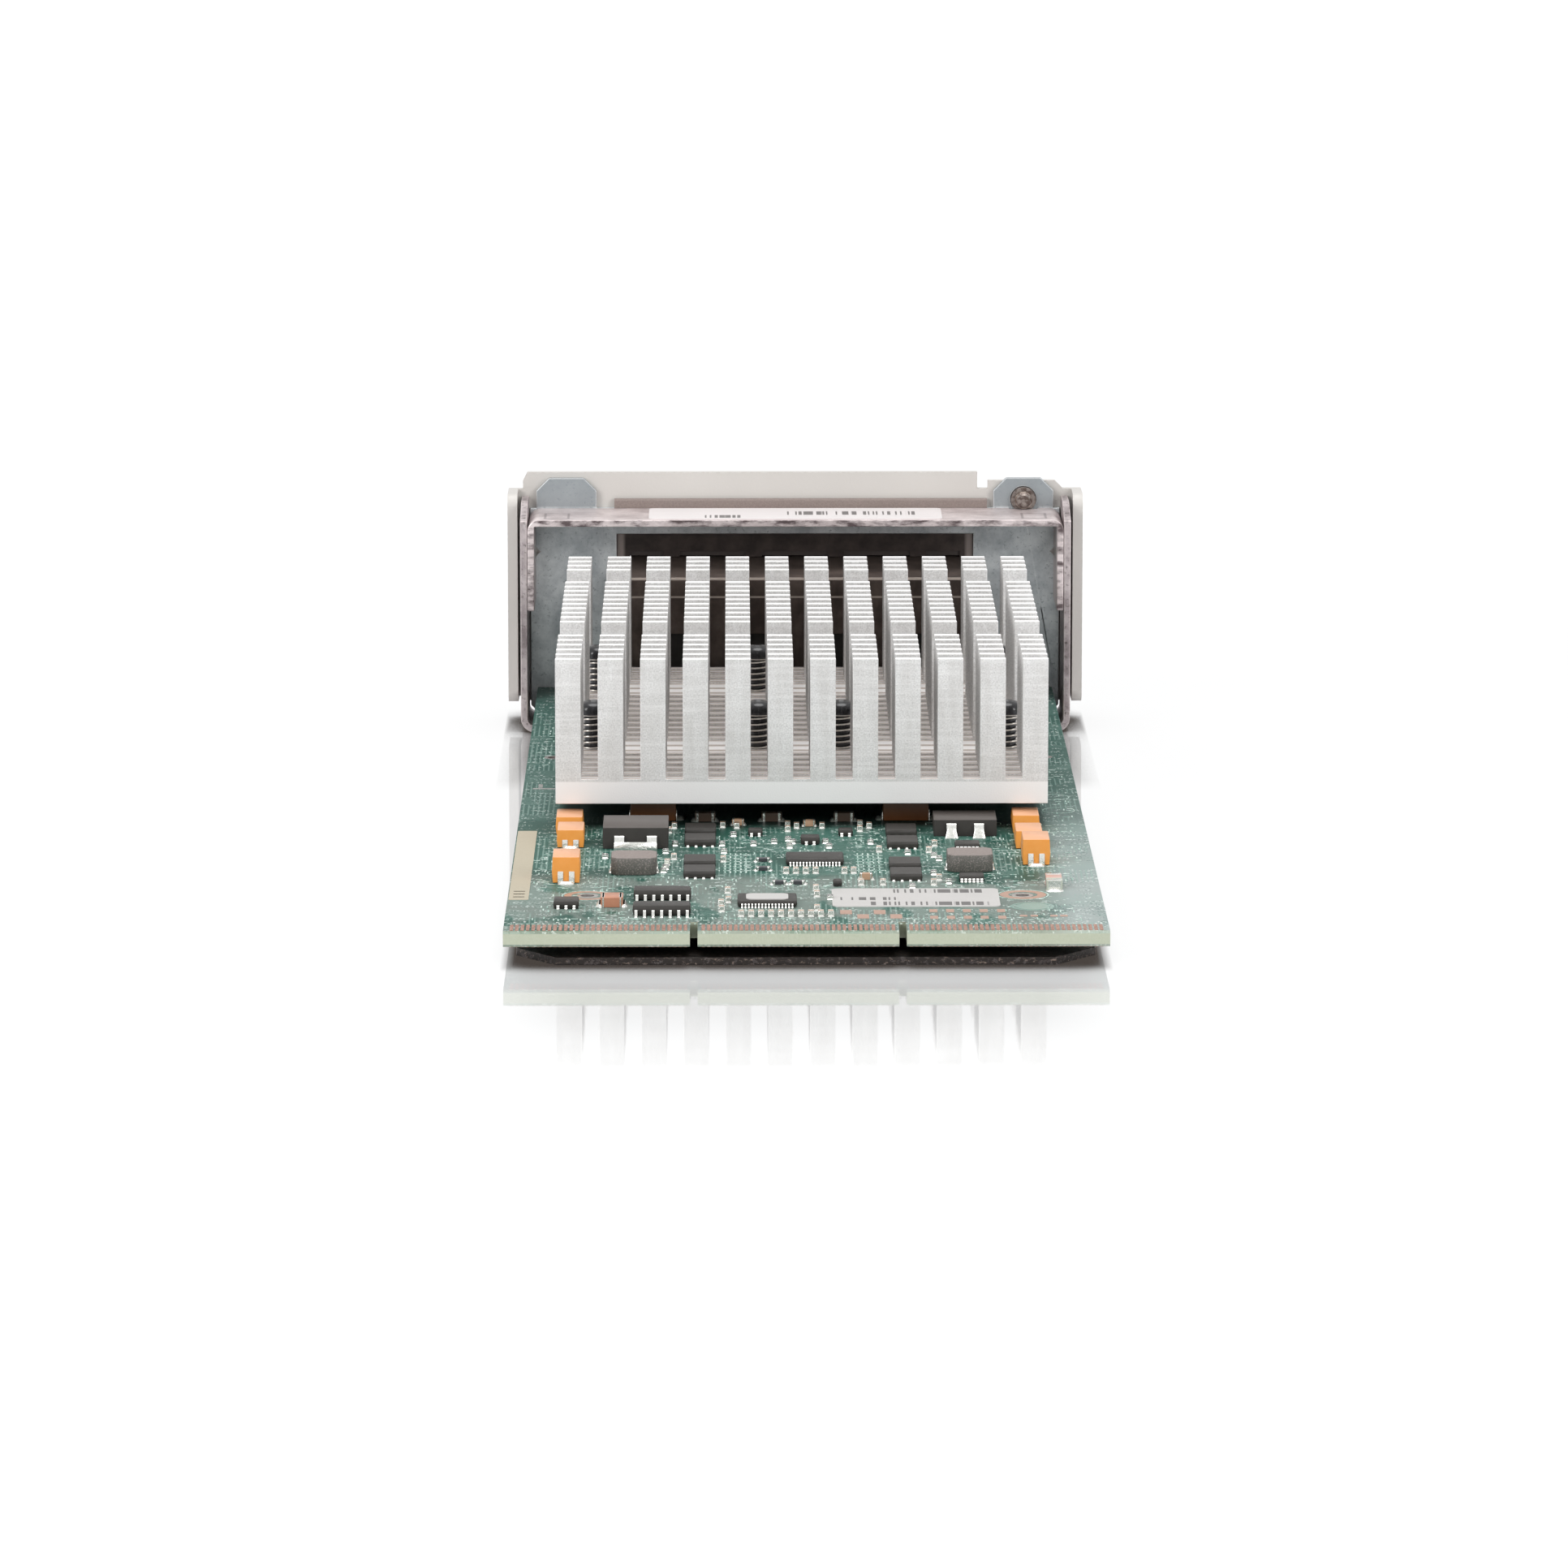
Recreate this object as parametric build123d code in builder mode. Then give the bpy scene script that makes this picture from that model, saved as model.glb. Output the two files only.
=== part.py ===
from build123d import *
import math
import os

# Switch line card, in millimetres. +X is to the right seen from the edge connector, +Y runs from the
# connector edge of the board towards the face with the ports, +Z is up. The origin is the middle of the
# footprint at the underside of the tray. Places along the card are given from the board's connector edge.

# Board
board_width = 89.3
board_length = 221.5
board_thick = 2.4
board_edge_bevel = 0.4
key_slot_width = 1.13
key_slot_depth = 7.0
key_slot_places = [-16.6, 14.2]
finger_pitch = 0.8
finger_width = 0.5
finger_length = 4.3
finger_thick = 0.06
finger_setback = 0.5
finger_group_margin = 0.8

# Tray under the board, with its two side ears
tray_thick = 1.2
tray_side_step = 1.7
tray_setback = 2.5
tray_corner_x = 6.0
tray_corner_y = 7.5
board_side_gap = 1.4
ear_depth = 14.7
ear_rise = 2.0
ear_slope_run = 8.5
ear_slope_drop = 2.2
bend_radius = 2.4

# Spacers and screws between tray and board
standoff_height = 2.0
standoff_radius = 2.6
standoff_spigot_radius = 1.7
standoff_insets = [(11.95, 28.0), (4.35, 150.0)]
rear_standoff_inset = 8.05
rear_standoff_setback = 9.5
tray_screw_radius = 1.0
tray_screw_head_radius = 1.9
tray_screw_length = 4.6
thread_clearance = 0.05

# Folded strap over the top and its rivets
strap_thick = 1.15
strap_headroom = 8.7
strap_fit = 0.05
strap_tab_length = 14.6
strap_bend_radius = 2.0
rivet_setback = 6.0
rivet_drop = 6.3
rivet_head_radius = 2.2
rivet_head_height = 1.1
rivet_head_bulge = 0.39
rivet_shank_radius = 1.3
rivet_fit = 0.02

# Zinc-plated face panel with its raised tabs
panel_gap = 0.7
panel_thick = 1.2
panel_fit = 0.2
collar_side = 2.4
collar_head = 4.2
collar_foot = 1.0
tab_rise = 5.2
tab_corner = 2.2
tab_width = 10.4
tab_inset = 6.5

# Painted bezel
bezel_thick = 1.6
bezel_rise = 6.1
bezel_foot = 3.0
bezel_left_step = 0.15
bezel_right_step = 0.75
bezel_slot_inset = 7.05
bezel_slot_width = 1.8
bezel_slot_rise = 2.4
bezel_corner_drop = 1.5
bezel_corner_cut = 1.5
wing_gap = 0.65
wing_thick = 1.7
wing_depth = 7.6
wing_rise = 3.2
wing_foot = 3.8
wing_round = 2.0
nose_depth = 14.9
nose_side_wall = 1.8
nose_top_wall = 2.0
nose_round = 2.0
nose_fit = 0.25

# Gasket strip and labels
gasket_end_gap = 2.1
gasket_place_x = 1.0
gasket_height = 1.6
strap_label_length = 50.4
strap_label_width = 13.0
board_label_length = 25.1
board_label_width = 14.4
board_label_middle = (16.6, 25.8)
chip_label_length = 6.3
chip_label_width = 4.6
label_thick = 0.12
label_corner = 1.0

# Captive screw in the right tab
screw_rise = 1.55
screw_tip_radius = 1.35
screw_tip_reach = 2.6
screw_tip_chamfer = 0.4
screw_head_radius = 2.5
screw_head_length = 2.2
screw_head_gap = 0.4
screw_head_chamfer = 0.3
screw_slot_width = 0.8
screw_slot_depth = 1.0
retainer_radius = 2.15
retainer_flange_radius = 2.7
retainer_flange_thick = 0.6
retainer_reach = 0.9
retainer_fit = 0.05
retainer_notch_gap = 0.25
screw_running_gap = 0.08

# Port cage: two rows of four ports
port_columns = 4
port_pitch = 14.25
port_height = 9.6
shelf_height = 2.4
cage_wall = 0.5
cage_on_board = 22.5
cage_lip = 0.6
rear_window_width = 6.0
rear_window_height = 12.4
connector_width = 12.0
connector_depth = 8.5
connector_slot_width = 10.0
connector_slot_height = 1.4
connector_slot_depth = 5.0
connector_slot_lift = 3.2
collar_thick = 0.5
collar_fit = 0.1
collar_finger_width = 2.8
collar_finger_drop = 1.0

# Heat sink, extruded across the card and saw cut along it
sink_columns = 12
column_width = 4.0
saw_cut = 2.664
sink_setback = 84.0
sink_rear_gap = 4.91
sink_lift = 4.0
sink_base = 3.6
sink_height = 23.0
fin_thick = 1.3
last_fin = 23
channel_fins = [(5, 8), (17, 20)]
root_ridge = 0.35

# Large chips below the heat sink
chip_channel_gap = 10.88
chip_base_thick = 1.2
chip_ball_height = 0.5
chip_ball_inset = 1.5
chip_lid_step = 3.0
chip_lid_round = 1.5
pad_thick = 0.2
pad_step = 1.0

# Push pins and their springs
pin_inner_column = 1
pin_outer_column = 5
pin_shaft_radius = 1.4
pin_running_gap = 0.1
pin_head_radius = 2.5
pin_head_height = 2.1
pin_head_rim = 0.7
pin_head_shoulder_radius = 1.7
pin_head_shoulder = 1.75
pin_tip_drop = 0.9
pin_barb_radius = 1.85
pin_point_radius = 0.8
pin_barb_gap = 0.05
spring_height = 5.6
spring_end_gap = 0.02
spring_turns = 5
spring_wire = 0.45
spring_radius = 2.1
spring_steps = 8

# Packages on the board: small-outline chips, fine-pitch chips and discrete parts
lead_thick = 0.2
lead_foot = 0.7
lead_width = 0.42
soic_pitch = 1.27
soic_width = 3.9
soic_height = 1.6
soic_lift = 0.15
soic_span = 6.0
flat_chip_length = 4.9
flat_chip_width = 5.9
flat_chip_height = 1.1
flat_lead_count = 4
flat_lead_reach = 0.5
flat_left_x = -15.9
flat_left_places = [44.8, 53.5, 71.5, 80.5]
flat_right_x = 15.5
flat_right_places = [42.5, 51.3, 69.4, 79.8]
so14_length = 8.65
so14_lead_count = 7
so14_x = -21.4
so14_places = [13.6, 25.8]
fine_pitch = 0.5
fine_lead_count = 16
fine_lead_width = 0.24
fine_length = 8.9
fine_width = 6.4
fine_height = 1.05
fine_span = 8.6
fine_places = [(-5.7, 21.4), (1.75, 55.4)]
tantalum_length = 7.3
tantalum_width = 4.3
tantalum_tall = 4.1
tantalum_low = 2.9
tantalum_taper = 0.25
tantalum_tall_places = [(-36.1, 41.5), (35.7, 55.9)]
tantalum_low_places = [(-36.0, 71.0), (-36.4, 82.3), (35.1, 69.7), (35.1, 83.3)]
tantalum_across_places = [(-23.4, 92.5), (16.5, 92.5)]
choke_side = 7.0
choke_height = 2.65
choke_cut = 1.1
choke_places = [(-25.9, 47.8), (25.4, 50.0)]
transistor_places = [(-25.9, 72.3, 10.2, 11.2, 3.3), (25.5, 81.4, 9.9, 8.6, 2.6)]
transistor_lead_spaces = [5.05, 4.3]
transistor_lead_width = 1.5
transistor_lead_reach = 1.8
transistor_lead_shoulder = 1.7
small_chip_places = [(-35.7, 19.3, 3.9, 4.2, 1.2), (25.5, 67.0, 3.9, 3.4, 1.0), (25.4, 40.0, 3.8, 3.0, 1.0),
                     (-7.3, 78.2, 2.3, 2.2, 1.1), (1.2, 71.4, 3.0, 3.0, 1.2), (6.8, 78.2, 2.3, 2.2, 1.1),
                     (5.0, 36.0, 1.4, 2.2, 0.9), (37.7, 35.5, 2.5, 6.6, 1.6)]
ceramic_large_places = [(-28.9, 20.6, 2.9, 4.4, 1.5), (-15.2, 91.0, 3.2, 1.8, 1.4), (-4.7, 91.0, 3.2, 1.8, 1.4),
                        (6.7, 91.0, 3.2, 1.8, 1.4), (-1.8, 48.4, 1.8, 2.6, 1.2)]
ceramic_small_size = (0.8, 1.5, 0.8)
ceramic_small_row = (-9.6, 12.0, 1.48)
ceramic_small_count = 10
ceramic_middle_row = (0.6, 43.6, 1.5)
ceramic_middle_count = 4

# Levels from the tray's underside up
board_under = tray_thick + standoff_height
board_top = board_under + board_thick
sink_bottom = board_top + sink_lift
sink_floor = sink_bottom + sink_base
sink_top = sink_bottom + sink_height
pin_head_bottom = sink_floor + spring_height

# Places along the card, from the connector edge to the front of the port cage
panel_place = board_length + panel_gap
ear_front = panel_place - ear_depth
rivet_place = ear_front + rivet_setback
cage_rear = board_length - cage_on_board
panel_front = panel_place + panel_thick
bezel_back = panel_front
bezel_front = bezel_back + bezel_thick
nose_front = bezel_front + nose_depth
cage_front = nose_front + cage_lip
edge_y = -cage_front / 2

# Sizes that follow from the port grid and the board
cage_half = port_columns * port_pitch / 2
cage_bottom = board_top
cage_height = 2 * port_height + shelf_height + 2 * cage_wall
cage_top = cage_bottom + cage_height
strap_top = cage_top + strap_headroom
ear_top = strap_top + ear_rise
tab_top = strap_top + tab_rise
screw_level = strap_top + screw_rise
rivet_level = strap_top - rivet_drop
bezel_top = strap_top + bezel_rise
bezel_slot_floor = strap_top + bezel_slot_rise
bezel_corner_top = bezel_top - bezel_corner_drop
wing_top = strap_top + wing_rise
panel_opening_half = cage_half + collar_side
panel_opening_top = cage_top + collar_head
panel_opening_bottom = cage_bottom - collar_foot
tray_half = board_width / 2 - tray_side_step
ear_inner = board_width / 2 + board_side_gap
ear_outer = ear_inner + tray_thick
tab_middle = ear_inner - tab_inset
wing_half = ear_outer + wing_gap + wing_thick
bezel_left = ear_outer - bezel_left_step
bezel_right = ear_outer - bezel_right_step
bezel_slot_place = tab_middle - bezel_slot_inset
gasket_length = 2 * (tab_middle - tab_width / 2 - gasket_end_gap)

# Sizes that follow from the heat sink's columns and blades
sink_half = (sink_columns * column_width + (sink_columns - 1) * saw_cut) / 2
column_pitch = column_width + saw_cut
fin_places = [i for i in range(last_fin + 1) if not any(a < i < b for a, b in channel_fins)]
sink_front = sink_setback
sink_length = cage_rear - sink_rear_gap - sink_front
fin_pitch = (sink_length - fin_thick) / last_fin
first_channel, second_channel = [sink_front + ((a + b) * fin_pitch + fin_thick) / 2 for a, b in channel_fins]
pin_outer_x = pin_outer_column * column_pitch
pin_inner_x = pin_inner_column * column_pitch
pin_places = [(-pin_outer_x, first_channel), (-pin_inner_x, first_channel), (pin_inner_x, first_channel),
              (pin_outer_x, first_channel), (-pin_outer_x, second_channel), (-pin_inner_x, second_channel),
              (pin_outer_x, second_channel)]
chip_x = (pin_outer_x + pin_inner_x) / 2
chip_side = second_channel - first_channel - 2 * chip_channel_gap
chip_lid_side = chip_side - 2 * chip_lid_step
pad_side = chip_lid_side - 2 * pad_step
chip_place = (first_channel + second_channel) / 2
standoff_places = [(board_width / 2 - inset, place) for inset, place in standoff_insets]
standoff_places.append((ear_inner - rear_standoff_inset, board_length - rear_standoff_setback))
standoff_points = [(side * x, edge_y + y) for x, y in standoff_places for side in (-1, 1)]
pin_points = [(x, edge_y + y) for x, y in pin_places]

os.makedirs("parts", exist_ok=True)


def save(part, name):
    """Label a finished piece and write it under its own name."""
    part.label = name
    export_step(part, "parts/" + name + ".step")


# Circuit board with its key slots, and holes for the spacers and push pins
with BuildPart() as circuit_board:
    with BuildSketch(Plane.XY.offset(board_under)):
        with Locations((0, edge_y)):
            Rectangle(board_width, board_length, align=(Align.CENTER, Align.MIN))
        with Locations(*[(x, edge_y) for x in key_slot_places]):
            Rectangle(key_slot_width, 2 * key_slot_depth, mode=Mode.SUBTRACT)
        with Locations(*standoff_points):
            Circle(standoff_spigot_radius, mode=Mode.SUBTRACT)
        with Locations(*pin_points):
            Circle(pin_shaft_radius + pin_running_gap, mode=Mode.SUBTRACT)
    extrude(amount=board_thick)
    near_edges = circuit_board.edges().filter_by(Axis.X).group_by(Axis.Y)[0]
    chamfer(near_edges, length=board_edge_bevel)
save(circuit_board.part, "circuit_board")

# Gold contact fingers on both faces, in three groups between the board's sides and the key slots
group_ends = [-board_width / 2] + key_slot_places + [board_width / 2]
finger_points = []
for left, right in zip(group_ends[:-1], group_ends[1:]):
    room = right - left - 2 * finger_group_margin
    count = int((room - finger_width) / finger_pitch) + 1
    start = (left + right - (count - 1) * finger_pitch) / 2
    finger_points += [(start + i * finger_pitch, edge_y + finger_setback) for i in range(count)]
with BuildPart() as contact_fingers:
    for level in (board_top, board_under - finger_thick):
        with BuildSketch(Plane.XY.offset(level)):
            with Locations(*finger_points):
                Rectangle(finger_width, finger_length, align=(Align.CENTER, Align.MIN))
        extrude(amount=finger_thick)
save(contact_fingers.part, "contact_fingers")

# Tray: one sheet, narrow under the board, with two ears folded up beside the face panel
with BuildPart() as tray:
    with BuildSketch(Plane.XY):
        with BuildLine():
            front = edge_y + tray_setback
            back = edge_y + panel_place - panel_fit
            Polyline((-tray_half + tray_corner_x, front), (tray_half - tray_corner_x, front),
                     (tray_half, front + tray_corner_y), (tray_half, back), (-tray_half, back),
                     (-tray_half, front + tray_corner_y), close=True)
        make_face()
    extrude(amount=tray_thick)
    with BuildSketch(Plane.XZ.offset(-(edge_y + ear_front))) as ear_section:
        Rectangle(2 * ear_outer, ear_top, align=(Align.CENTER, Align.MIN))
        low_corners = ear_section.vertices().group_by(Axis.Y)[0]
        fillet(low_corners, radius=bend_radius)
        with BuildSketch(mode=Mode.SUBTRACT) as ear_hollow:
            with Locations((0, tray_thick)):
                Rectangle(2 * ear_inner, ear_top, align=(Align.CENTER, Align.MIN))
            fillet(ear_hollow.vertices().group_by(Axis.Y)[0], radius=bend_radius - tray_thick)
    extrude(amount=-(panel_front - ear_front))
    with BuildSketch(Plane.YZ.offset(-ear_outer)):
        with BuildLine():
            start = edge_y + ear_front
            Polyline((start, ear_top), (start, ear_top - ear_slope_drop), (start + ear_slope_run, ear_top),
                     close=True)
        make_face()
    extrude(amount=2 * ear_outer, mode=Mode.SUBTRACT)
    with BuildSketch(Plane.YZ.offset(-ear_outer)):
        with Locations((edge_y + rivet_place, rivet_level)):
            Circle(rivet_shank_radius + rivet_fit)
    extrude(amount=2 * ear_outer, mode=Mode.SUBTRACT)
    with Locations(*[Location((x, y, 0), (180, 0, 0)) for x, y in standoff_points]):
        CounterSinkHole(tray_screw_radius + thread_clearance, tray_screw_head_radius, depth=tray_thick)
save(tray.part, "tray")

# Hexagonal spacers pressed into the board, tapped for the screws that come up through the tray
with BuildPart() as board_standoffs:
    with BuildSketch(Plane.XY.offset(tray_thick)):
        with Locations(*standoff_points):
            RegularPolygon(standoff_radius, side_count=6)
    extrude(amount=standoff_height)
    with BuildSketch(Plane.XY.offset(board_under)):
        with Locations(*standoff_points):
            Circle(standoff_spigot_radius - thread_clearance)
    extrude(amount=board_thick)
    with BuildSketch(Plane.XY.offset(tray_thick)):
        with Locations(*standoff_points):
            Circle(tray_screw_radius + thread_clearance)
    extrude(amount=standoff_height + board_thick, mode=Mode.SUBTRACT)
save(board_standoffs.part, "board_standoffs")

with BuildPart() as tray_screws:
    for x, y in standoff_points:
        with BuildSketch(Plane.XZ.offset(-y)):
            with BuildLine():
                head_depth = tray_screw_head_radius - tray_screw_radius
                Polyline((x, 0), (x + tray_screw_head_radius - thread_clearance, 0),
                         (x + tray_screw_radius, head_depth - thread_clearance),
                         (x + tray_screw_radius, tray_screw_length), (x, tray_screw_length), close=True)
            make_face()
        revolve(axis=Axis((x, y, 0), (0, 0, 1)))
save(tray_screws.part, "tray_screws")

# Face panel: flat zinc-plated plate with a port opening and two raised tabs
with BuildPart() as face_panel:
    with BuildSketch(Plane.XZ.offset(-(edge_y + panel_place))) as panel_outline:
        panel_half = ear_inner - panel_fit
        with Locations((0, tray_thick)):
            Rectangle(2 * panel_half, strap_top - tray_thick, align=(Align.CENTER, Align.MIN))
        chamfer(panel_outline.vertices().group_by(Axis.Y)[0], length=bend_radius - tray_thick)
        with Locations((-tab_middle, strap_top), (tab_middle, strap_top)):
            Rectangle(tab_width, tab_top - strap_top, align=(Align.CENTER, Align.MIN))
        tab_corners = panel_outline.vertices().group_by(Axis.Y)[-1]
        chamfer(tab_corners, length=tab_corner)
        with Locations((0, panel_opening_bottom)):
            Rectangle(2 * panel_opening_half, panel_opening_top - panel_opening_bottom,
                      align=(Align.CENTER, Align.MIN), mode=Mode.SUBTRACT)
        with Locations((tab_middle, screw_level)):
            Circle(retainer_radius + retainer_fit, mode=Mode.SUBTRACT)
    extrude(amount=-panel_thick)
save(face_panel.part, "face_panel")

# Bridge strap: a folded strip over the top, with a tab down each ear
with BuildPart() as bridge_strap:
    strap_half = ear_inner - strap_fit
    with BuildSketch(Plane.XZ.offset(-(edge_y + ear_front))) as strap_section:
        with Locations((0, strap_top)):
            Rectangle(2 * strap_half, strap_tab_length + strap_thick, align=(Align.CENTER, Align.MAX))
        fillet(strap_section.vertices().group_by(Axis.Y)[-1], radius=strap_bend_radius)
        with Locations((0, strap_top - strap_thick)):
            Rectangle(2 * (strap_half - strap_thick), strap_tab_length,
                      align=(Align.CENTER, Align.MAX), mode=Mode.SUBTRACT)
    extrude(amount=-(panel_place - ear_front))
    with BuildSketch(Plane.YZ.offset(-strap_half)):
        with Locations((edge_y + rivet_place, rivet_level)):
            Circle(rivet_shank_radius + rivet_fit)
    extrude(amount=2 * strap_half, mode=Mode.SUBTRACT)
    with BuildSketch(Plane.XY.offset(strap_top - strap_thick)):
        with Locations((tab_middle, edge_y + panel_place)):
            Rectangle(2 * (retainer_radius + retainer_notch_gap), 2 * (retainer_reach + retainer_notch_gap))
    extrude(amount=strap_thick, mode=Mode.SUBTRACT)
save(bridge_strap.part, "bridge_strap")

# Rivets: domed head inside, shank through tab and ear, flush outside
with BuildPart() as strap_rivets:
    head_face = ear_inner - strap_fit - strap_thick
    rivet_axis = Axis((0, edge_y + rivet_place, rivet_level), (1, 0, 0))
    for side in (-1, 1):
        with BuildSketch(Plane.XY.offset(rivet_level)):
            with BuildLine():
                mid_y = edge_y + rivet_place
                top = (side * (head_face - rivet_head_height), mid_y)
                rim = (side * head_face, mid_y + rivet_head_radius)
                SagittaArc(top, rim, -side * rivet_head_bulge)
                Polyline(rim, (side * head_face, mid_y + rivet_shank_radius),
                         (side * ear_outer, mid_y + rivet_shank_radius), (side * ear_outer, mid_y), top)
            make_face()
        revolve(axis=rivet_axis)
save(strap_rivets.part, "strap_rivets")

# Bezel: plate behind the panel, with side returns and a shallow nose round the port cage
with BuildPart() as bezel:
    slot_left = bezel_slot_place - bezel_slot_width / 2
    slot_right = bezel_slot_place + bezel_slot_width / 2
    with BuildSketch(Plane.XZ.offset(-(edge_y + bezel_back))):
        with BuildLine():
            Polyline((-bezel_left, bezel_foot), (-bezel_left, bezel_top - bezel_corner_cut),
                     (-bezel_left + bezel_corner_cut / 2, bezel_top), (slot_left, bezel_top),
                     (slot_left, bezel_slot_floor), (slot_right, bezel_slot_floor),
                     (slot_right, bezel_corner_top), (bezel_right - bezel_corner_cut, bezel_corner_top),
                     (bezel_right, bezel_corner_top - bezel_corner_cut), (bezel_right, bezel_foot), close=True)
        make_face()
        with Locations((0, wing_foot)):
            Rectangle(2 * wing_half, wing_top - wing_foot, align=(Align.CENTER, Align.MIN))
    extrude(amount=-bezel_thick)
    for side in (-1, 1):
        with BuildSketch(Plane.YZ.offset(side * (wing_half - (wing_thick if side > 0 else 0)))) as wing:
            with Locations((edge_y + bezel_front, wing_foot)):
                Rectangle(bezel_thick + wing_depth, wing_top - wing_foot, align=(Align.MAX, Align.MIN))
            fillet(wing.vertices().group_by(Axis.X)[0], radius=wing_round)
        extrude(amount=wing_thick)
    nose_half = cage_half + nose_fit + nose_side_wall
    nose_foot = bezel_foot
    nose_top = cage_top + nose_fit + nose_top_wall
    with BuildSketch(Plane.XZ.offset(-(edge_y + bezel_front))) as nose:
        with Locations((0, nose_foot)):
            Rectangle(2 * nose_half, nose_top - nose_foot, align=(Align.CENTER, Align.MIN))
        fillet(nose.vertices(), radius=nose_round)
    extrude(amount=-nose_depth)
    front_edges = bezel.faces().sort_by(Axis.Y)[-1].outer_wire().edges()
    fillet(front_edges, radius=nose_side_wall / 2)
    with BuildSketch(Plane.XZ.offset(-(edge_y + bezel_back))):
        with Locations((0, cage_bottom - nose_fit)):
            Rectangle(2 * (cage_half + nose_fit), cage_height + 2 * nose_fit, align=(Align.CENTER, Align.MIN))
        with Locations((tab_middle, screw_level)):
            Circle(retainer_radius + retainer_fit)
    extrude(amount=-(nose_front - bezel_back), mode=Mode.SUBTRACT)
save(bezel.part, "bezel")

# Gasket strip on the panel's top edge, against the bezel
with BuildPart() as emi_gasket_strip:
    with Locations((gasket_place_x, edge_y + panel_place, strap_top)):
        Box(gasket_length, panel_thick, gasket_height, align=(Align.CENTER, Align.MIN, Align.MIN))
    fillet(emi_gasket_strip.edges().filter_by(Axis.X).group_by(Axis.Z)[-1], radius=panel_thick / 3)
save(emi_gasket_strip.part, "emi_gasket_strip")

# Retainer ferrule through tab and bezel, with a flange in front
with BuildPart() as screw_retainer:
    with BuildSketch(Plane.XY.offset(screw_level)):
        with BuildLine():
            bore = tab_middle + screw_tip_radius + screw_running_gap
            rear = edge_y + panel_place - retainer_reach
            face = edge_y + bezel_front
            Polyline((bore, rear), (tab_middle + retainer_radius, rear),
                     (tab_middle + retainer_radius, face), (tab_middle + retainer_flange_radius, face),
                     (tab_middle + retainer_flange_radius, face + retainer_flange_thick),
                     (bore, face + retainer_flange_thick), close=True)
        make_face()
    revolve(axis=Axis((tab_middle, 0, screw_level), (0, 1, 0)))
save(screw_retainer.part, "screw_retainer")

# Captive screw: low slotted head, and a plain shank with its tip behind the tab
with BuildPart() as captive_screw:
    screw_head_back = edge_y + bezel_front + retainer_flange_thick + screw_head_gap
    screw_head_face = screw_head_back + screw_head_length
    shank_tip = edge_y + panel_place - screw_tip_reach
    with BuildSketch(Plane.XZ.offset(-screw_head_back)):
        with Locations((tab_middle, screw_level)):
            Circle(screw_head_radius)
    extrude(amount=-screw_head_length)
    chamfer(captive_screw.faces().sort_by(Axis.Y)[-1].edges(), length=screw_head_chamfer)
    with BuildSketch(Plane.XZ.offset(-shank_tip)):
        with Locations((tab_middle, screw_level)):
            Circle(screw_tip_radius)
    extrude(amount=-(screw_head_back - shank_tip))
    tip_edges = captive_screw.faces().sort_by(Axis.Y)[0].edges()
    chamfer(tip_edges, length=screw_tip_chamfer)
    with Locations((tab_middle, screw_head_face, screw_level)):
        Box(2 * screw_head_radius, screw_slot_depth, screw_slot_width,
            align=(Align.CENTER, Align.MAX, Align.CENTER), mode=Mode.SUBTRACT)
save(captive_screw.part, "captive_screw")

# Port cage: folded shell, open in front, with four windows in its rear wall
column_x = [(i - (port_columns - 1) / 2) * port_pitch for i in range(port_columns)]
with BuildPart() as port_cage:
    with Locations((0, edge_y + cage_rear, cage_bottom)):
        Box(2 * cage_half, cage_front - cage_rear, cage_height, align=(Align.CENTER, Align.MIN, Align.MIN))
    with Locations((0, edge_y + cage_rear + cage_wall, cage_bottom + cage_wall)):
        Box(2 * (cage_half - cage_wall), cage_front - cage_rear, cage_height - 2 * cage_wall,
            align=(Align.CENTER, Align.MIN, Align.MIN), mode=Mode.SUBTRACT)
    with BuildSketch(Plane.XZ.offset(-(edge_y + cage_rear))):
        with Locations(*[(x, cage_bottom + cage_wall) for x in column_x]):
            Rectangle(rear_window_width, rear_window_height, align=(Align.CENTER, Align.MIN))
    extrude(amount=-cage_wall, mode=Mode.SUBTRACT)
save(port_cage.part, "port_cage")

# Walls between the columns, full height inside the cage
wall_x = [(i + 1) * port_pitch - cage_half for i in range(port_columns - 1)]
inside_bottom = cage_bottom + cage_wall
inside_height = cage_height - 2 * cage_wall
with BuildPart() as cage_separators:
    with Locations(*[(x, edge_y + cage_rear + cage_wall, inside_bottom) for x in wall_x]):
        Box(cage_wall, cage_front - cage_rear - cage_wall, inside_height,
            align=(Align.CENTER, Align.MIN, Align.MIN))
save(cage_separators.part, "cage_separators")

# Hollow shelf between the two rows, one length in each column
shelf_level = inside_bottom + port_height
shelf_back = edge_y + cage_rear + cage_wall + connector_depth
with BuildPart() as cage_shelves:
    for i, x in enumerate(column_x):
        left_wall = cage_wall if i == 0 else cage_wall / 2
        right_wall = cage_wall if i == port_columns - 1 else cage_wall / 2
        with Locations((x + (left_wall - right_wall) / 2, shelf_back, shelf_level)):
            Box(port_pitch - left_wall - right_wall, edge_y + cage_front - shelf_back, shelf_height,
                align=(Align.CENTER, Align.MIN, Align.MIN))
save(cage_shelves.part, "cage_shelves")

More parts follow.
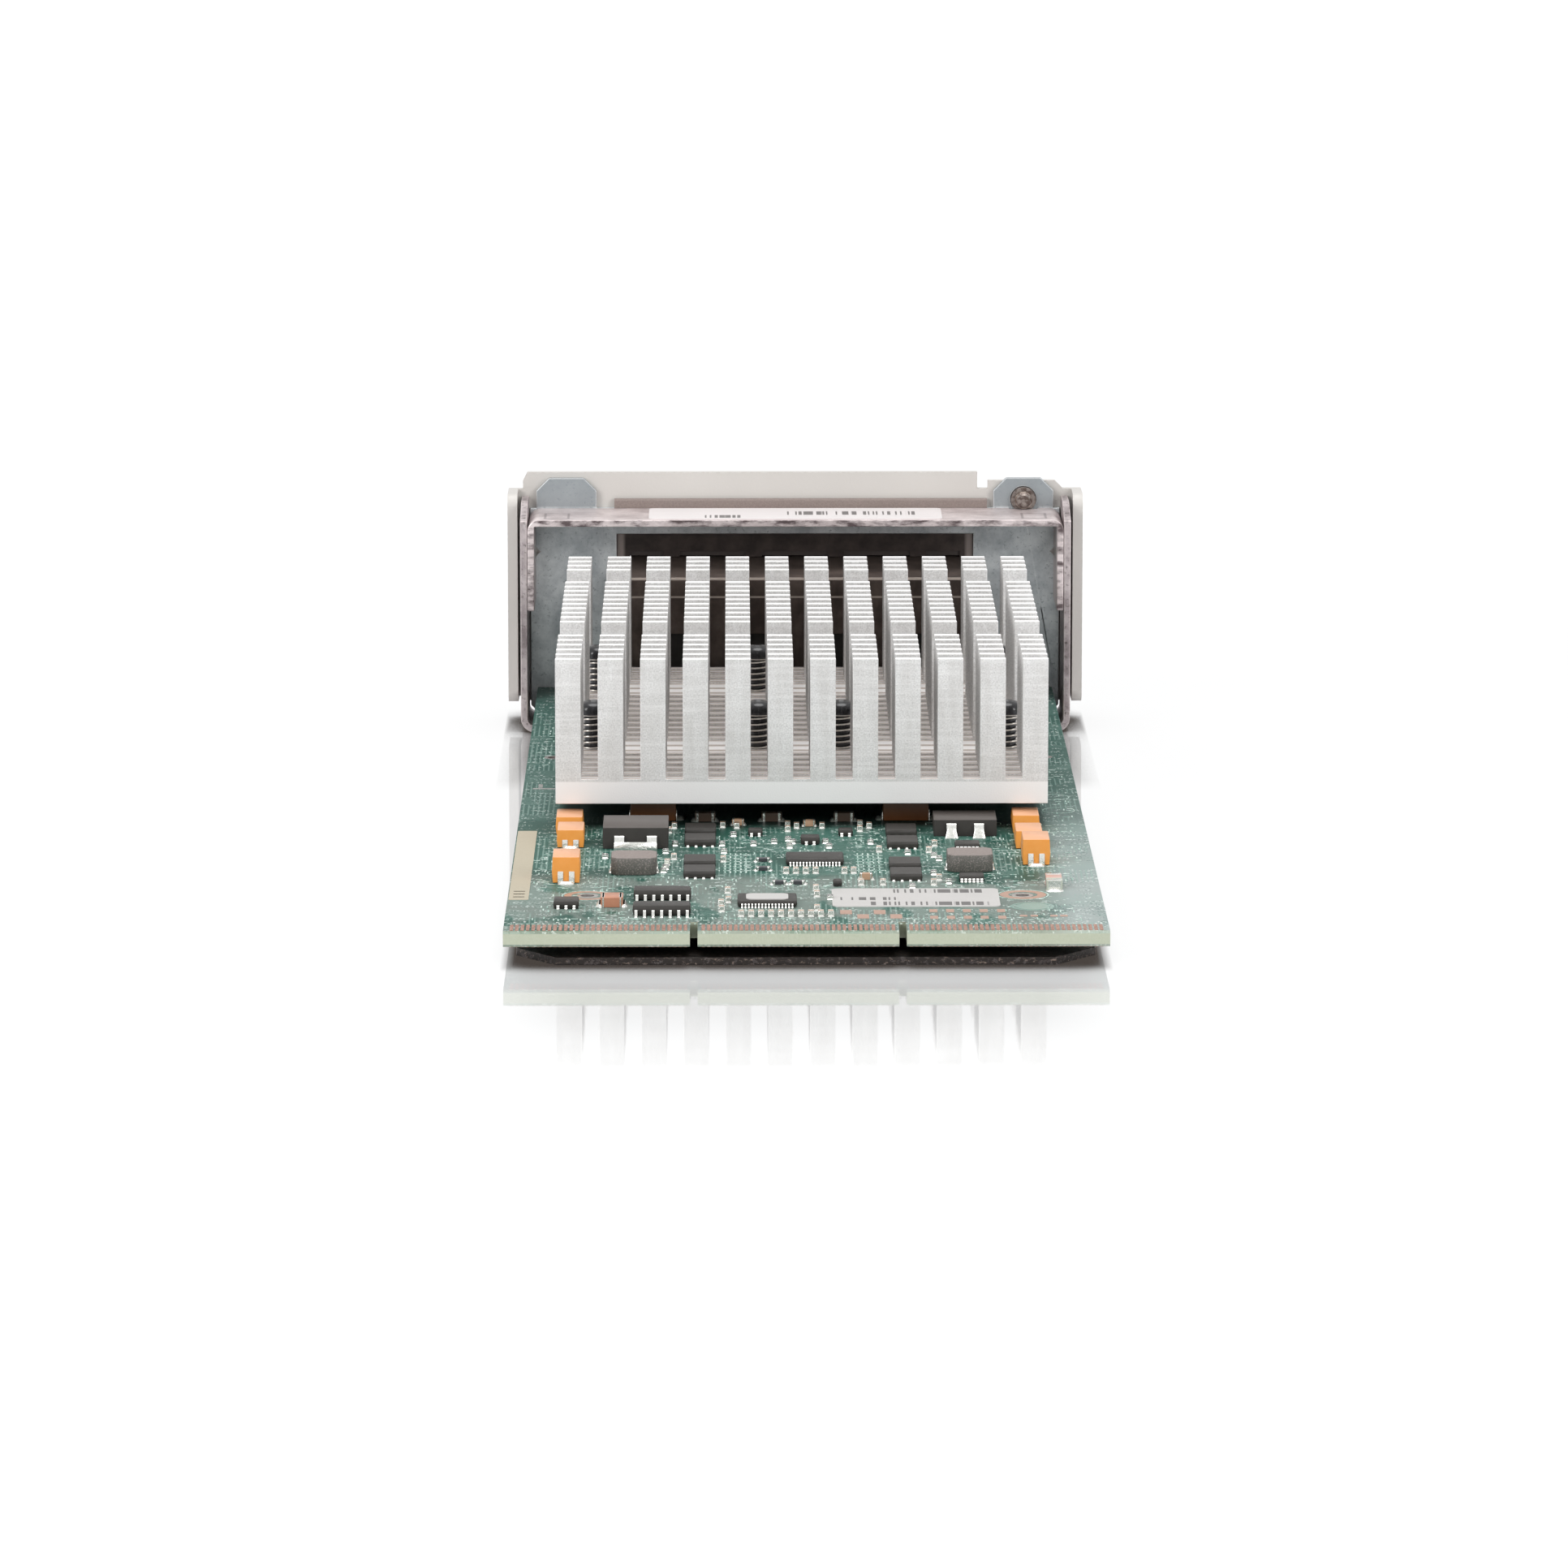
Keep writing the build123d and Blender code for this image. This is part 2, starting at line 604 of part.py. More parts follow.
# Connector bodies at the back of each column, with an upper and a lower card slot
with BuildPart() as port_connectors:
    for x in column_x:
        with Locations((x, edge_y + cage_rear + cage_wall, inside_bottom)):
            Box(connector_width, connector_depth, inside_height, align=(Align.CENTER, Align.MIN, Align.MIN))
        with Locations((x, shelf_back, inside_bottom + connector_slot_lift),
                       (x, shelf_back, shelf_level + shelf_height + connector_slot_lift)):
            Box(connector_slot_width, connector_slot_depth, connector_slot_height,
                align=(Align.CENTER, Align.MAX, Align.MIN), mode=Mode.SUBTRACT)
save(port_connectors.part, "port_connectors")

# Spring collar: a frame in the panel's opening, with one contact finger over each port column
with BuildPart() as cage_collar:
    with BuildSketch(Plane.XZ.offset(-(edge_y + panel_front - collar_thick))):
        collar_bottom = cage_bottom
        with Locations((0, collar_bottom)):
            Rectangle(2 * (panel_opening_half - collar_fit), panel_opening_top - collar_fit - collar_bottom,
                      align=(Align.CENTER, Align.MIN))
        with Locations((0, collar_bottom)):
            Rectangle(2 * (cage_half + collar_fit), cage_height + collar_fit + collar_finger_drop,
                      align=(Align.CENTER, Align.MIN), mode=Mode.SUBTRACT)
        with Locations(*[(x, cage_top + collar_fit + collar_finger_drop) for x in column_x]):
            Rectangle(collar_finger_width, collar_finger_drop, align=(Align.CENTER, Align.MAX))
    extrude(amount=-collar_thick)
save(cage_collar.part, "cage_collar")

# Heat sink: comb section extruded across the card, then eleven saw cuts along it down to low ridges
with BuildPart() as heat_sink:
    with BuildSketch(Plane.YZ.offset(-sink_half)):
        with Locations((edge_y + sink_front, sink_bottom)):
            Rectangle(sink_length, sink_base, align=(Align.MIN, Align.MIN))
        with Locations(*[(edge_y + sink_front + i * fin_pitch, sink_bottom) for i in fin_places]):
            Rectangle(fin_thick, sink_height, align=(Align.MIN, Align.MIN))
    extrude(amount=2 * sink_half)
    cut_floor = sink_floor + root_ridge
    with BuildSketch(Plane.XY.offset(cut_floor)):
        with Locations((0, edge_y + sink_front)):
            with GridLocations(column_pitch, 1, sink_columns - 1, 1):
                Rectangle(saw_cut, sink_length, align=(Align.CENTER, Align.MIN))
    extrude(amount=sink_top - cut_floor, mode=Mode.SUBTRACT)
    with BuildSketch(Plane.XY.offset(sink_bottom)):
        with Locations(*pin_points):
            Circle(pin_shaft_radius + pin_running_gap)
    extrude(amount=sink_base, mode=Mode.SUBTRACT)
save(heat_sink.part, "heat_sink")

# Large chips: ball field, square base and raised metal lid, with a thermal pad on top
lid_top = sink_bottom - pad_thick
with BuildPart() as thermal_pads:
    with Locations(*[(side * chip_x, edge_y + chip_place, lid_top) for side in (-1, 1)]):
        Box(pad_side, pad_side, pad_thick, align=(Align.CENTER, Align.CENTER, Align.MIN))
save(thermal_pads.part, "thermal_pads")

for side, name in ((-1, "switch_chip_left"), (1, "switch_chip_right")):
    middle = (side * chip_x, edge_y + chip_place)
    with BuildPart() as switch_chip:
        with BuildSketch(Plane.XY.offset(board_top)):
            with Locations(middle):
                Rectangle(chip_side - 2 * chip_ball_inset, chip_side - 2 * chip_ball_inset)
        extrude(amount=chip_ball_height)
        with BuildSketch(Plane.XY.offset(board_top + chip_ball_height)):
            with Locations(middle):
                Rectangle(chip_side, chip_side)
        extrude(amount=chip_base_thick)
        lid_bottom = board_top + chip_ball_height + chip_base_thick
        with BuildSketch(Plane.XY.offset(lid_bottom)):
            with Locations(middle):
                RectangleRounded(chip_lid_side, chip_lid_side, chip_lid_round)
        extrude(amount=lid_top - lid_bottom)
    save(switch_chip.part, name)

# Push pins: head with a sloped crown, plain shaft through heat sink and board, barbed point below the board
with BuildPart() as push_pin_form:
    with BuildSketch(Plane.XZ):
        with BuildLine():
            head_top = (0, pin_head_bottom + pin_head_height)
            barb_level = board_under - pin_barb_gap
            point_level = board_under - pin_tip_drop
            Polyline(head_top, (pin_head_shoulder_radius, pin_head_bottom + pin_head_shoulder),
                     (pin_head_radius, pin_head_bottom + pin_head_rim),
                     (pin_head_radius, pin_head_bottom), (pin_shaft_radius, pin_head_bottom),
                     (pin_shaft_radius, barb_level), (pin_barb_radius, barb_level),
                     (pin_point_radius, point_level), (0, point_level), head_top)
        make_face()
    revolve(axis=Axis.Z)

# Springs: square wire wound round each pin between the heat sink's floor and the head
spring_rise = spring_height - spring_wire - 2 * spring_end_gap
spring_count = spring_turns * spring_steps
spring_points = []
for i in range(spring_count + 1):
    turn = 2 * math.pi * i / spring_steps
    level = sink_floor + spring_end_gap + spring_wire / 2 + spring_rise * i / spring_count
    spring_points.append((spring_radius * math.cos(turn), spring_radius * math.sin(turn), level))
with BuildPart() as pin_spring_form:
    with BuildLine() as coil:
        Polyline(*spring_points)
    with BuildSketch(Plane(origin=coil.line @ 0, x_dir=(1, 0, 0), z_dir=coil.line % 0)):
        Rectangle(spring_wire, spring_wire)
    sweep(path=coil.line, transition=Transition.RIGHT)

for number, place in enumerate(pin_points, start=1):
    with BuildPart() as push_pin:
        with Locations(place):
            add(push_pin_form.part)
    save(push_pin.part, "push_pin_" + str(number))
    with BuildPart() as pin_spring:
        with Locations(place):
            add(pin_spring_form.part)
    save(pin_spring.part, "pin_spring_" + str(number))


# Small-outline and flat power chips: plain bodies in one group, bent and stub leads in another
def chip_bodies(places, length, width, height, lift):
    """Plain moulded bodies, standing a little clear of the board."""
    with BuildSketch(Plane.XY.offset(board_top + lift)) as outline:
        with Locations(*[(px, edge_y + py) for px, py in places]):
            Rectangle(length, width)
    extrude(outline.sketch, amount=height - lift)


def bent_lead(reach, shoulder, width):
    """One lead as a Z-shaped strip along -Y, from its shoulder at the origin down to its foot."""
    with BuildPart() as lead:
        with BuildSketch(Plane.YZ):
            with BuildLine():
                Polyline((0, shoulder), (lead_foot - reach, lead_thick), (lead_foot - reach, 0), (-reach, 0),
                         (-reach, lead_thick), (lead_foot - reach - lead_thick, lead_thick),
                         (-lead_thick, shoulder + lead_thick), (0, shoulder + lead_thick), close=True)
            make_face()
        extrude(amount=width / 2, both=True)
    return lead.part


def lead_places(places, count, pitch, body_width):
    """Where two rows of leads leave each body, the rear row turned round to face the other way."""
    found = []
    for px, py in places:
        for i in range(count):
            lead_x = px + (i - (count - 1) / 2) * pitch
            found.append(Location((lead_x, edge_y + py - body_width / 2, board_top)))
            found.append(Location((lead_x, edge_y + py + body_width / 2, board_top), (0, 0, 180)))
    return found


flat_places = [(flat_left_x, y) for y in flat_left_places] + [(flat_right_x, y) for y in flat_right_places]
so14_pairs = [(so14_x, y) for y in so14_places]
with BuildPart() as small_outline_chips:
    chip_bodies(flat_places, flat_chip_length, flat_chip_width, flat_chip_height, 0)
    chip_bodies(so14_pairs, so14_length, soic_width, soic_height, soic_lift)
save(small_outline_chips.part, "small_outline_chips")

small_outline_lead = bent_lead((soic_span - soic_width) / 2, soic_height / 2, lead_width)
with BuildPart() as small_outline_leads:
    with Locations(*lead_places(so14_pairs, so14_lead_count, soic_pitch, soic_width)):
        add(small_outline_lead)
    for px, py in flat_places:
        with Locations((px, edge_y + py - flat_chip_width / 2, board_top)):
            with GridLocations(soic_pitch, 1, flat_lead_count, 1):
                Box(lead_width, flat_lead_reach, lead_thick, align=(Align.CENTER, Align.MAX, Align.MIN))
save(small_outline_leads.part, "small_outline_leads")

with BuildPart() as fine_pitch_chips:
    chip_bodies(fine_places, fine_length, fine_width, fine_height, soic_lift)
save(fine_pitch_chips.part, "fine_pitch_chips")

fine_lead = bent_lead((fine_span - fine_width) / 2, fine_height / 2, fine_lead_width)
with BuildPart() as fine_pitch_leads:
    with Locations(*lead_places(fine_places, fine_lead_count, fine_pitch, fine_width)):
        add(fine_lead)
save(fine_pitch_leads.part, "fine_pitch_leads")


# Tantalum capacitors: moulded blocks, drawn in slightly towards the top
def tapered_blocks(places, size_x, size_y, height):
    """Blocks whose four sides lean in by the mould's draft."""
    for px, py in places:
        with BuildSketch(Plane.XY.offset(board_top)) as foot:
            with Locations((px, edge_y + py)):
                Rectangle(size_x, size_y)
        with BuildSketch(Plane.XY.offset(board_top + height)) as crown:
            with Locations((px, edge_y + py)):
                Rectangle(size_x - tantalum_taper, size_y - tantalum_taper)
        loft(sections=[foot.sketch.face(), crown.sketch.face()])


with BuildPart() as tantalum_capacitors:
    tapered_blocks(tantalum_tall_places, tantalum_width, tantalum_length, tantalum_tall)
    tapered_blocks(tantalum_low_places, tantalum_width, tantalum_length, tantalum_low)
    tapered_blocks(tantalum_across_places, tantalum_length, tantalum_width, tantalum_low)
save(tantalum_capacitors.part, "tantalum_capacitors")

# Chokes: square blocks with cut corners
with BuildPart() as chokes:
    for px, py in choke_places:
        with BuildSketch(Plane.XY.offset(board_top)) as choke_outline:
            with Locations((px, edge_y + py)):
                Rectangle(choke_side, choke_side)
            chamfer(choke_outline.vertices(), length=choke_cut)
        extrude(amount=choke_height)
save(chokes.part, "chokes")


# Power transistors: moulded bodies with two bent leads towards the connector edge
def loose_blocks(places):
    """Plain surface-mounted blocks, each with its own size."""
    for px, py, size_x, size_y, height in places:
        with Locations((px, edge_y + py, board_top)):
            Box(size_x, size_y, height, align=(Align.CENTER, Align.CENTER, Align.MIN))


with BuildPart() as power_transistors:
    loose_blocks(transistor_places)
save(power_transistors.part, "power_transistors")

transistor_lead = bent_lead(transistor_lead_reach, transistor_lead_shoulder, transistor_lead_width)
with BuildPart() as transistor_leads:
    for (px, py, _, size_y, _), space in zip(transistor_places, transistor_lead_spaces):
        with Locations((px, edge_y + py - size_y / 2, board_top)):
            with GridLocations(space, 1, 2, 1):
                add(transistor_lead)
save(transistor_leads.part, "transistor_leads")

# Other small packages, each a plain block
with BuildPart() as small_chips:
    loose_blocks(small_chip_places)
save(small_chips.part, "small_chips")

# Ceramic capacitors: a few large ones, and two rows of small ones
small_ones = []
for row, count in ((ceramic_small_row, ceramic_small_count), (ceramic_middle_row, ceramic_middle_count)):
    first_x, row_y, pitch = row
    small_ones += [(first_x + i * pitch, row_y) + ceramic_small_size for i in range(count)]
with BuildPart() as ceramic_capacitors:
    loose_blocks(ceramic_large_places)
    loose_blocks(small_ones)
save(ceramic_capacitors.part, "ceramic_capacitors")


# Blank labels on the strap, the board and one chip
def label_sheet(middle_x, middle_y, level, length, width):
    """A thin sheet with rounded corners, lying flat."""
    with BuildSketch(Plane.XY.offset(level)) as sheet:
        with Locations((middle_x, middle_y)):
            RectangleRounded(length, width, label_corner)
    extrude(sheet.sketch, amount=label_thick)


with BuildPart() as strap_label:
    label_sheet(0, edge_y + (ear_front + panel_place) / 2, strap_top, strap_label_length, strap_label_width)
save(strap_label.part, "strap_label")

with BuildPart() as board_label:
    label_sheet(board_label_middle[0], edge_y + board_label_middle[1], board_top, board_label_length,
                board_label_width)
save(board_label.part, "board_label")

with BuildPart() as chip_label:
    label_sheet(fine_places[0][0], edge_y + fine_places[0][1], board_top + fine_height, chip_label_length,
                chip_label_width)
save(chip_label.part, "chip_label")
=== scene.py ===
import math

import bpy
import numpy as np
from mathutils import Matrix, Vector


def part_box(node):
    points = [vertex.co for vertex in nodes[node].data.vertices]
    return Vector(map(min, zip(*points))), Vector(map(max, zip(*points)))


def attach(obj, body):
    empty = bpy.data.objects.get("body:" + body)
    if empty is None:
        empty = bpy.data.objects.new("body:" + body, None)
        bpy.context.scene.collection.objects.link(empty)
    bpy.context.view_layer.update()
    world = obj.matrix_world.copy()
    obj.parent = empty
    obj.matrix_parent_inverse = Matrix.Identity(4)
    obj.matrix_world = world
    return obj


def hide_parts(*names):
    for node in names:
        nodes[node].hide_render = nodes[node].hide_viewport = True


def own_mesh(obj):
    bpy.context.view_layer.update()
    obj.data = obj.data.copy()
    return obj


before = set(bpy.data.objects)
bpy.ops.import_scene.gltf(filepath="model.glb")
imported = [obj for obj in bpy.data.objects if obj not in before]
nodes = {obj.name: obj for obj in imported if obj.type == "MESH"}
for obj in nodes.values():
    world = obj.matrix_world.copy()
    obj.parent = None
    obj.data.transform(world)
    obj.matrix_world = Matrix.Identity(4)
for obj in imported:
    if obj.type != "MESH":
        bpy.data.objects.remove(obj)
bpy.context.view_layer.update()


# Photo table: a pale floor that fades into a white surround, three broad soft lamps and a long
# lens that looks ten degrees down on the connector end of the card.
def linear(code):
    """The shader's colour for a paint code such as #C9C8C6: each channel has the display curve undone."""
    channels = [int(code[i:i + 2], 16) / 255 for i in (1, 3, 5)]
    return tuple(c / 12.92 if c <= 0.04045 else ((c + 0.055) / 1.055) ** 2.4 for c in channels) + (1.0,)


def add_node(tree, kind, operation=None, **sockets):
    """One shader node. A plain value is written on its socket, and another node's output is joined to it.
    A socket is given by its name with _ for each space, or as i0, i1 by its number."""
    made = tree.nodes.new("ShaderNode" + kind)
    if operation is not None:
        made.operation = operation
    for name, value in sockets.items():
        numbered = name[0] == "i" and name[1:].isdigit()
        socket = made.inputs[int(name[1:]) if numbered else name.replace("_", " ")]
        if isinstance(value, bpy.types.NodeSocket):
            tree.links.new(value, socket)
        else:
            socket.default_value = value
    return made


def ramp(tree, value, low, high, first, last):
    """A value that goes from first at low to last at high, and stays level beyond them."""
    return add_node(tree, "MapRange", Value=value, From_Min=low, From_Max=high,
                    To_Min=first, To_Max=last).outputs[0]


def band(tree, value, low, high, flip=False):
    """A ramp from 0 at low to 1 at high, or from 1 to 0."""
    return ramp(tree, value, low, high, float(flip), float(not flip))


def combine(tree, operation, first, second=0.0):
    """One sum, difference, larger or smaller value of two numbers or outputs."""
    return add_node(tree, "Math", operation, i0=first, i1=second).outputs[0]


def times(tree, *factors):
    """The product of several numbers or outputs."""
    product = factors[0]
    for factor in factors[1:]:
        product = combine(tree, "MULTIPLY", product, factor)
    return product


def split(tree, vector):
    """The three parts of a vector."""
    return add_node(tree, "SeparateXYZ", Vector=vector).outputs


mm = 0.001
board_low, board_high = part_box("circuit_board")
edge_y, board_top = board_low.y, board_high.z
edge_mm, top_mm = edge_y / mm, board_top / mm

scene = bpy.context.scene
scene.view_settings.view_transform = "Standard"
camera_data = bpy.data.cameras.new("table_camera")
camera_data.sensor_width = 36.0
camera_data.lens = 186.7
camera_data.clip_end = 20.0
camera = bpy.data.objects.new("table_camera", camera_data)
camera.location = (-10.9 * mm, edge_y - 1173.1 * mm, board_top + 228.8 * mm)
camera.rotation_euler = (math.radians(80.0), 0.0, math.radians(-0.37))
scene.collection.objects.link(camera)
scene.camera = camera

floor_half = 6.0
floor_mesh = bpy.data.meshes.new("table_top")
floor_mesh.from_pydata([(-floor_half, -floor_half, 0.0), (floor_half, -floor_half, 0.0),
                        (floor_half, floor_half, 0.0), (-floor_half, floor_half, 0.0)], [], [(0, 1, 2, 3)])
floor = bpy.data.objects.new("table_top", floor_mesh)
scene.collection.objects.link(floor)

floor_paint = bpy.data.materials.new("white_table")
floor_paint.use_nodes = True
tree = floor_paint.node_tree
tree.nodes.clear()
seen = add_node(tree, "LightPath").outputs
matte = add_node(tree, "BsdfDiffuse", Color=(0.80, 0.80, 0.81, 1.0))
soft_matte = add_node(tree, "BsdfDiffuse", Color=(0.16, 0.16, 0.16, 1.0))
mirror = add_node(tree, "BsdfGlossy", Color=(0.42, 0.42, 0.42, 1.0), Roughness=0.03)
spot = add_node(tree, "TexCoord").outputs["Object"]
distance = add_node(tree, "VectorMath", "LENGTH", i0=spot).outputs["Value"]
place = split(tree, spot)
sideways = combine(tree, "ABSOLUTE", place[0])
fade = ramp(tree, distance, 0.22, 0.8, 0.39, 0.62)
# Painted shadow: a soft grey patch on the floor just ahead of the card, fading out forward and to the sides,
# is taken off the glow.
painted_shadow_ahead = band(tree, place[1], edge_y - 62.0 * mm, edge_y - 34.0 * mm)
close = ramp(tree, place[1], edge_y - 20.0 * mm, edge_y - 10.0 * mm, 0.14, 0.0)
inside = band(tree, sideways, 34.0 * mm, 47.0 * mm, flip=True)
strength = combine(tree, "SUBTRACT", fade, times(tree, painted_shadow_ahead, close, inside))
glow = add_node(tree, "Emission", Color=(1.0, 1.0, 1.0, 1.0), Strength=strength)
sheen = add_node(tree, "AddShader", i0=mirror.outputs[0], i1=glow.outputs[0])
table = add_node(tree, "AddShader", i0=sheen.outputs[0], i1=soft_matte.outputs[0])
# Painted contact shadow: where ambient occlusion finds the card close by, the floor turns to a fixed dark
# emission. It stays clear beside the card's front part and past its ears.
contact = add_node(tree, "AmbientOcclusion", Distance=13.0 * mm)
contact.samples = 8
open_sky = band(tree, contact.outputs["AO"], 0.40, 0.87)
beside = band(tree, sideways, 43.2 * mm, 45.2 * mm)
before = band(tree, place[1], edge_y + 150.0 * mm, edge_y + 190.0 * mm, flip=True)
past_ears = band(tree, sideways, 49.2 * mm, 50.2 * mm)
clear = combine(tree, "MAXIMUM", times(tree, beside, before), past_ears)
unshaded = combine(tree, "MAXIMUM", open_sky, clear)
shade = add_node(tree, "Emission", Color=linear("#4A4440"), Strength=1.0)
by_eye = add_node(tree, "MixShader", Fac=unshaded, i1=shade.outputs[0], i2=table.outputs[0])
mixed = add_node(tree, "MixShader", Fac=seen["Is Camera Ray"], i1=matte.outputs[0],
                 i2=by_eye.outputs[0])
add_node(tree, "OutputMaterial", Surface=mixed.outputs[0])
floor_mesh.materials.append(floor_paint)

world = bpy.data.worlds.new("studio")
scene.world = world
world.use_nodes = True
tree = world.node_tree
tree.nodes.clear()
seen = add_node(tree, "LightPath").outputs
straight = combine(tree, "MAXIMUM", seen["Is Camera Ray"], seen["Is Glossy Ray"])
through = combine(tree, "MAXIMUM", straight, seen["Is Transmission Ray"])
room = add_node(tree, "Background", Color=(0.96, 0.98, 1.0, 1.0), Strength=0.62)
white = add_node(tree, "Background", Color=(1.0, 1.0, 1.0, 1.0), Strength=1.0)
sky = add_node(tree, "MixShader", Fac=through, i1=room.outputs[0], i2=white.outputs[0])
add_node(tree, "OutputWorld", Surface=sky.outputs[0])

lamps = {"top_softbox": ((0.0, 0.05, 1.2), 0.9, 8.0),
         "left_softbox": ((-0.9, -0.85, 0.6), 0.7, 9.0),
         "right_softbox": ((0.9, -0.95, 0.5), 0.7, 7.5)}
for lamp_name, (place, size, power) in lamps.items():
    light = bpy.data.lights.new(lamp_name, "AREA")
    light.shape = "DISK"
    light.size = size
    light.energy = power
    lamp = bpy.data.objects.new(lamp_name, light)
    lamp.location = place
    lamp.rotation_euler = (-Vector(place)).to_track_quat("-Z", "Y").to_euler()
    scene.collection.objects.link(lamp)


# Circuit board: glass-fibre laminate under a glossy green solder mask, with fine copper traces that
# show through it, bare laminate at its cut sides and at the bevelled connector edge.
def finish(name, roughness, metallic=0.0, specular=0.5, coat=0.0, coat_roughness=0.1):
    """A new material: its tree, its shader, and a point on the piece in millimetres."""
    made = bpy.data.materials.new(name)
    made.use_nodes = True
    tree = made.node_tree
    shader = tree.nodes["Principled BSDF"]
    shader.inputs["Roughness"].default_value = roughness
    shader.inputs["Metallic"].default_value = metallic
    shader.inputs["Specular IOR Level"].default_value = specular
    shader.inputs["Coat Weight"].default_value = coat
    shader.inputs["Coat Roughness"].default_value = coat_roughness
    place = add_node(tree, "TexCoord")
    scaled = add_node(tree, "VectorMath", "SCALE", i0=place.outputs["Object"])
    scaled.inputs["Scale"].default_value = 1000.0
    return made, tree, shader, scaled.outputs[0]


def grain(tree, point, size, detail=3.0, rough=0.55, stretch=None):
    """Noise whose patches are about size millimetres across, squeezed along each axis by stretch."""
    if stretch is not None:
        point = add_node(tree, "VectorMath", "MULTIPLY", i0=point, i1=stretch).outputs[0]
    return add_node(tree, "TexNoise", Vector=point, Scale=1.0 / size, Detail=detail,
                    Roughness=rough).outputs["Fac"]


def blend_colour(tree, amount, first, second):
    """Two colours mixed by amount, each a paint code or the output of another mix."""
    mix = tree.nodes.new("ShaderNodeMix")
    mix.data_type = "RGBA"
    for socket, value in ((mix.inputs[0], amount), (mix.inputs[6], first), (mix.inputs[7], second)):
        if isinstance(value, bpy.types.NodeSocket):
            tree.links.new(value, socket)
        else:
            socket.default_value = linear(value) if isinstance(value, str) else value
    return mix.outputs[2]


def paint(tree, shader, colour):
    """The colour of a shader, from the output of a mix."""
    tree.links.new(colour, shader.inputs["Base Color"])


def facing(tree, axis):
    """How far a face looks along one axis: that part of its normal, from -1 to 1."""
    return split(tree, add_node(tree, "NewGeometry").outputs["Normal"])[axis]


def relief(tree, shader, height, depth):
    """Bump on a shader, depth in millimetres from the lowest to the highest value of height."""
    bump = add_node(tree, "Bump", Strength=1.0, Distance=depth * mm, Height=height)
    tree.links.new(bump.outputs[0], shader.inputs["Normal"])


def dress(material, *names):
    """The whole of each named node gets one material."""
    for name in names:
        nodes[name].data.materials.clear()
        nodes[name].data.materials.append(material)


board_paint, tree, shader, point = finish("solder_mask", 0.38, specular=0.05)
cloud = grain(tree, point, 11.0, 4.0)
glass = grain(tree, point, 0.35, 2.0)
routing = grain(tree, point, 2.6, 1.0, stretch=(1.0, 0.22, 1.0))
place_x, place_y, _ = split(tree, point)[:3]
fields = add_node(tree, "TexVoronoi", Vector=point, Scale=0.13)
fields.distance = "CHEBYCHEV"
upwards = combine(tree, "GREATER_THAN", split(tree, fields.outputs["Color"])[0], 0.5)
lanes_x = times(tree, combine(tree, "FRACT", times(tree, place_x, 1.25)), upwards)
lanes_y = times(tree, combine(tree, "FRACT", times(tree, place_y, 1.25)),
                  combine(tree, "SUBTRACT", 1.0, upwards))
lanes = combine(tree, "ADD", lanes_x, lanes_y)
traces = times(tree, band(tree, lanes, 0.66, 0.72), band(tree, cloud, 0.42, 0.50))
dots = add_node(tree, "TexVoronoi", Vector=point, Scale=0.62).outputs["Distance"]
vias = times(tree, band(tree, dots, 0.13, 0.17, flip=True), band(tree, cloud, 0.45, 0.55))
planes = grain(tree, point, 7.0, 2.0, stretch=(1.0, 0.5, 1.0))
# Painted sheen: a paler patch near the connector edge and a greyer green on the far part of the board stand
# in for the solder mask's reflection.
near_edge = band(tree, place_y, edge_mm + 40.0, edge_mm + 46.0, flip=True)
pale = times(tree, near_edge, band(tree, planes, 0.40, 0.46))
right_rim = times(tree, band(tree, place_x, 35.0, 40.0),
                    band(tree, place_y, edge_mm + 120.0, edge_mm + 60.0))
far = band(tree, place_y, edge_mm + 84.0, edge_mm + 110.0)
# Painted shade: the board under the heat sink is darkened almost to black.
sink_low, sink_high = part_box("heat_sink")
below_x = band(tree, combine(tree, "ABSOLUTE", place_x), sink_high.x / mm - 1.5, sink_high.x / mm,
               flip=True)
below_y = times(tree, band(tree, place_y, sink_low.y / mm + 0.8, sink_low.y / mm + 4.0),
                  band(tree, place_y, sink_high.y / mm - 3.0, sink_high.y / mm, flip=True))
painted_board_shade = times(tree, below_x, below_y)
small_dots = add_node(tree, "TexVoronoi", Vector=point, Scale=1.15).outputs["Distance"]
holes = times(tree, band(tree, small_dots, 0.17, 0.21, flip=True), band(tree, routing, 0.47, 0.53))
clutter = grain(tree, point, 0.62, 3.0, 0.6, stretch=(1.5, 0.8, 1.0))
rows = combine(tree, "FRACT", times(tree, place_y, 0.31))
ink_specks = times(tree, band(tree, clutter, 0.55, 0.60), band(tree, rows, 0.45, 0.50),
                   band(tree, routing, 0.44, 0.52))
etched = times(tree, band(tree, clutter, 0.44, 0.39), band(tree, planes, 0.52, 0.46))
green = blend_colour(tree, band(tree, cloud, 0.38, 0.64), "#103F34", "#1B5347")
for field, amount, colour in ((far, 0.75, "#37564F"), (pale, 0.85, "#717872"), (right_rim, 0.7, "#A4ABAA"),
                              (traces, 0.55, "#86A097"), (holes, 0.6, "#123F35"), (vias, 0.85, "#C4CFC8"),
                              (glass, 0.2, "#7C9A8F"), (etched, 0.6, "#1A4A40"),
                              (ink_specks, 0.75, "#C9D3CE"), (painted_board_shade, 0.88, "#0B1411")):
    green = blend_colour(tree, times(tree, field, amount), green, colour)
side_wall = band(tree, combine(tree, "ABSOLUTE", facing(tree, 2)), 0.5, 0.9, flip=True)
laminate = blend_colour(tree, times(tree, glass, 0.6), "#ACB09F", "#989F8A")
paint(tree, shader, blend_colour(tree, side_wall, green, laminate))
relief(tree, shader, traces, 0.03)
dress(board_paint, "circuit_board")

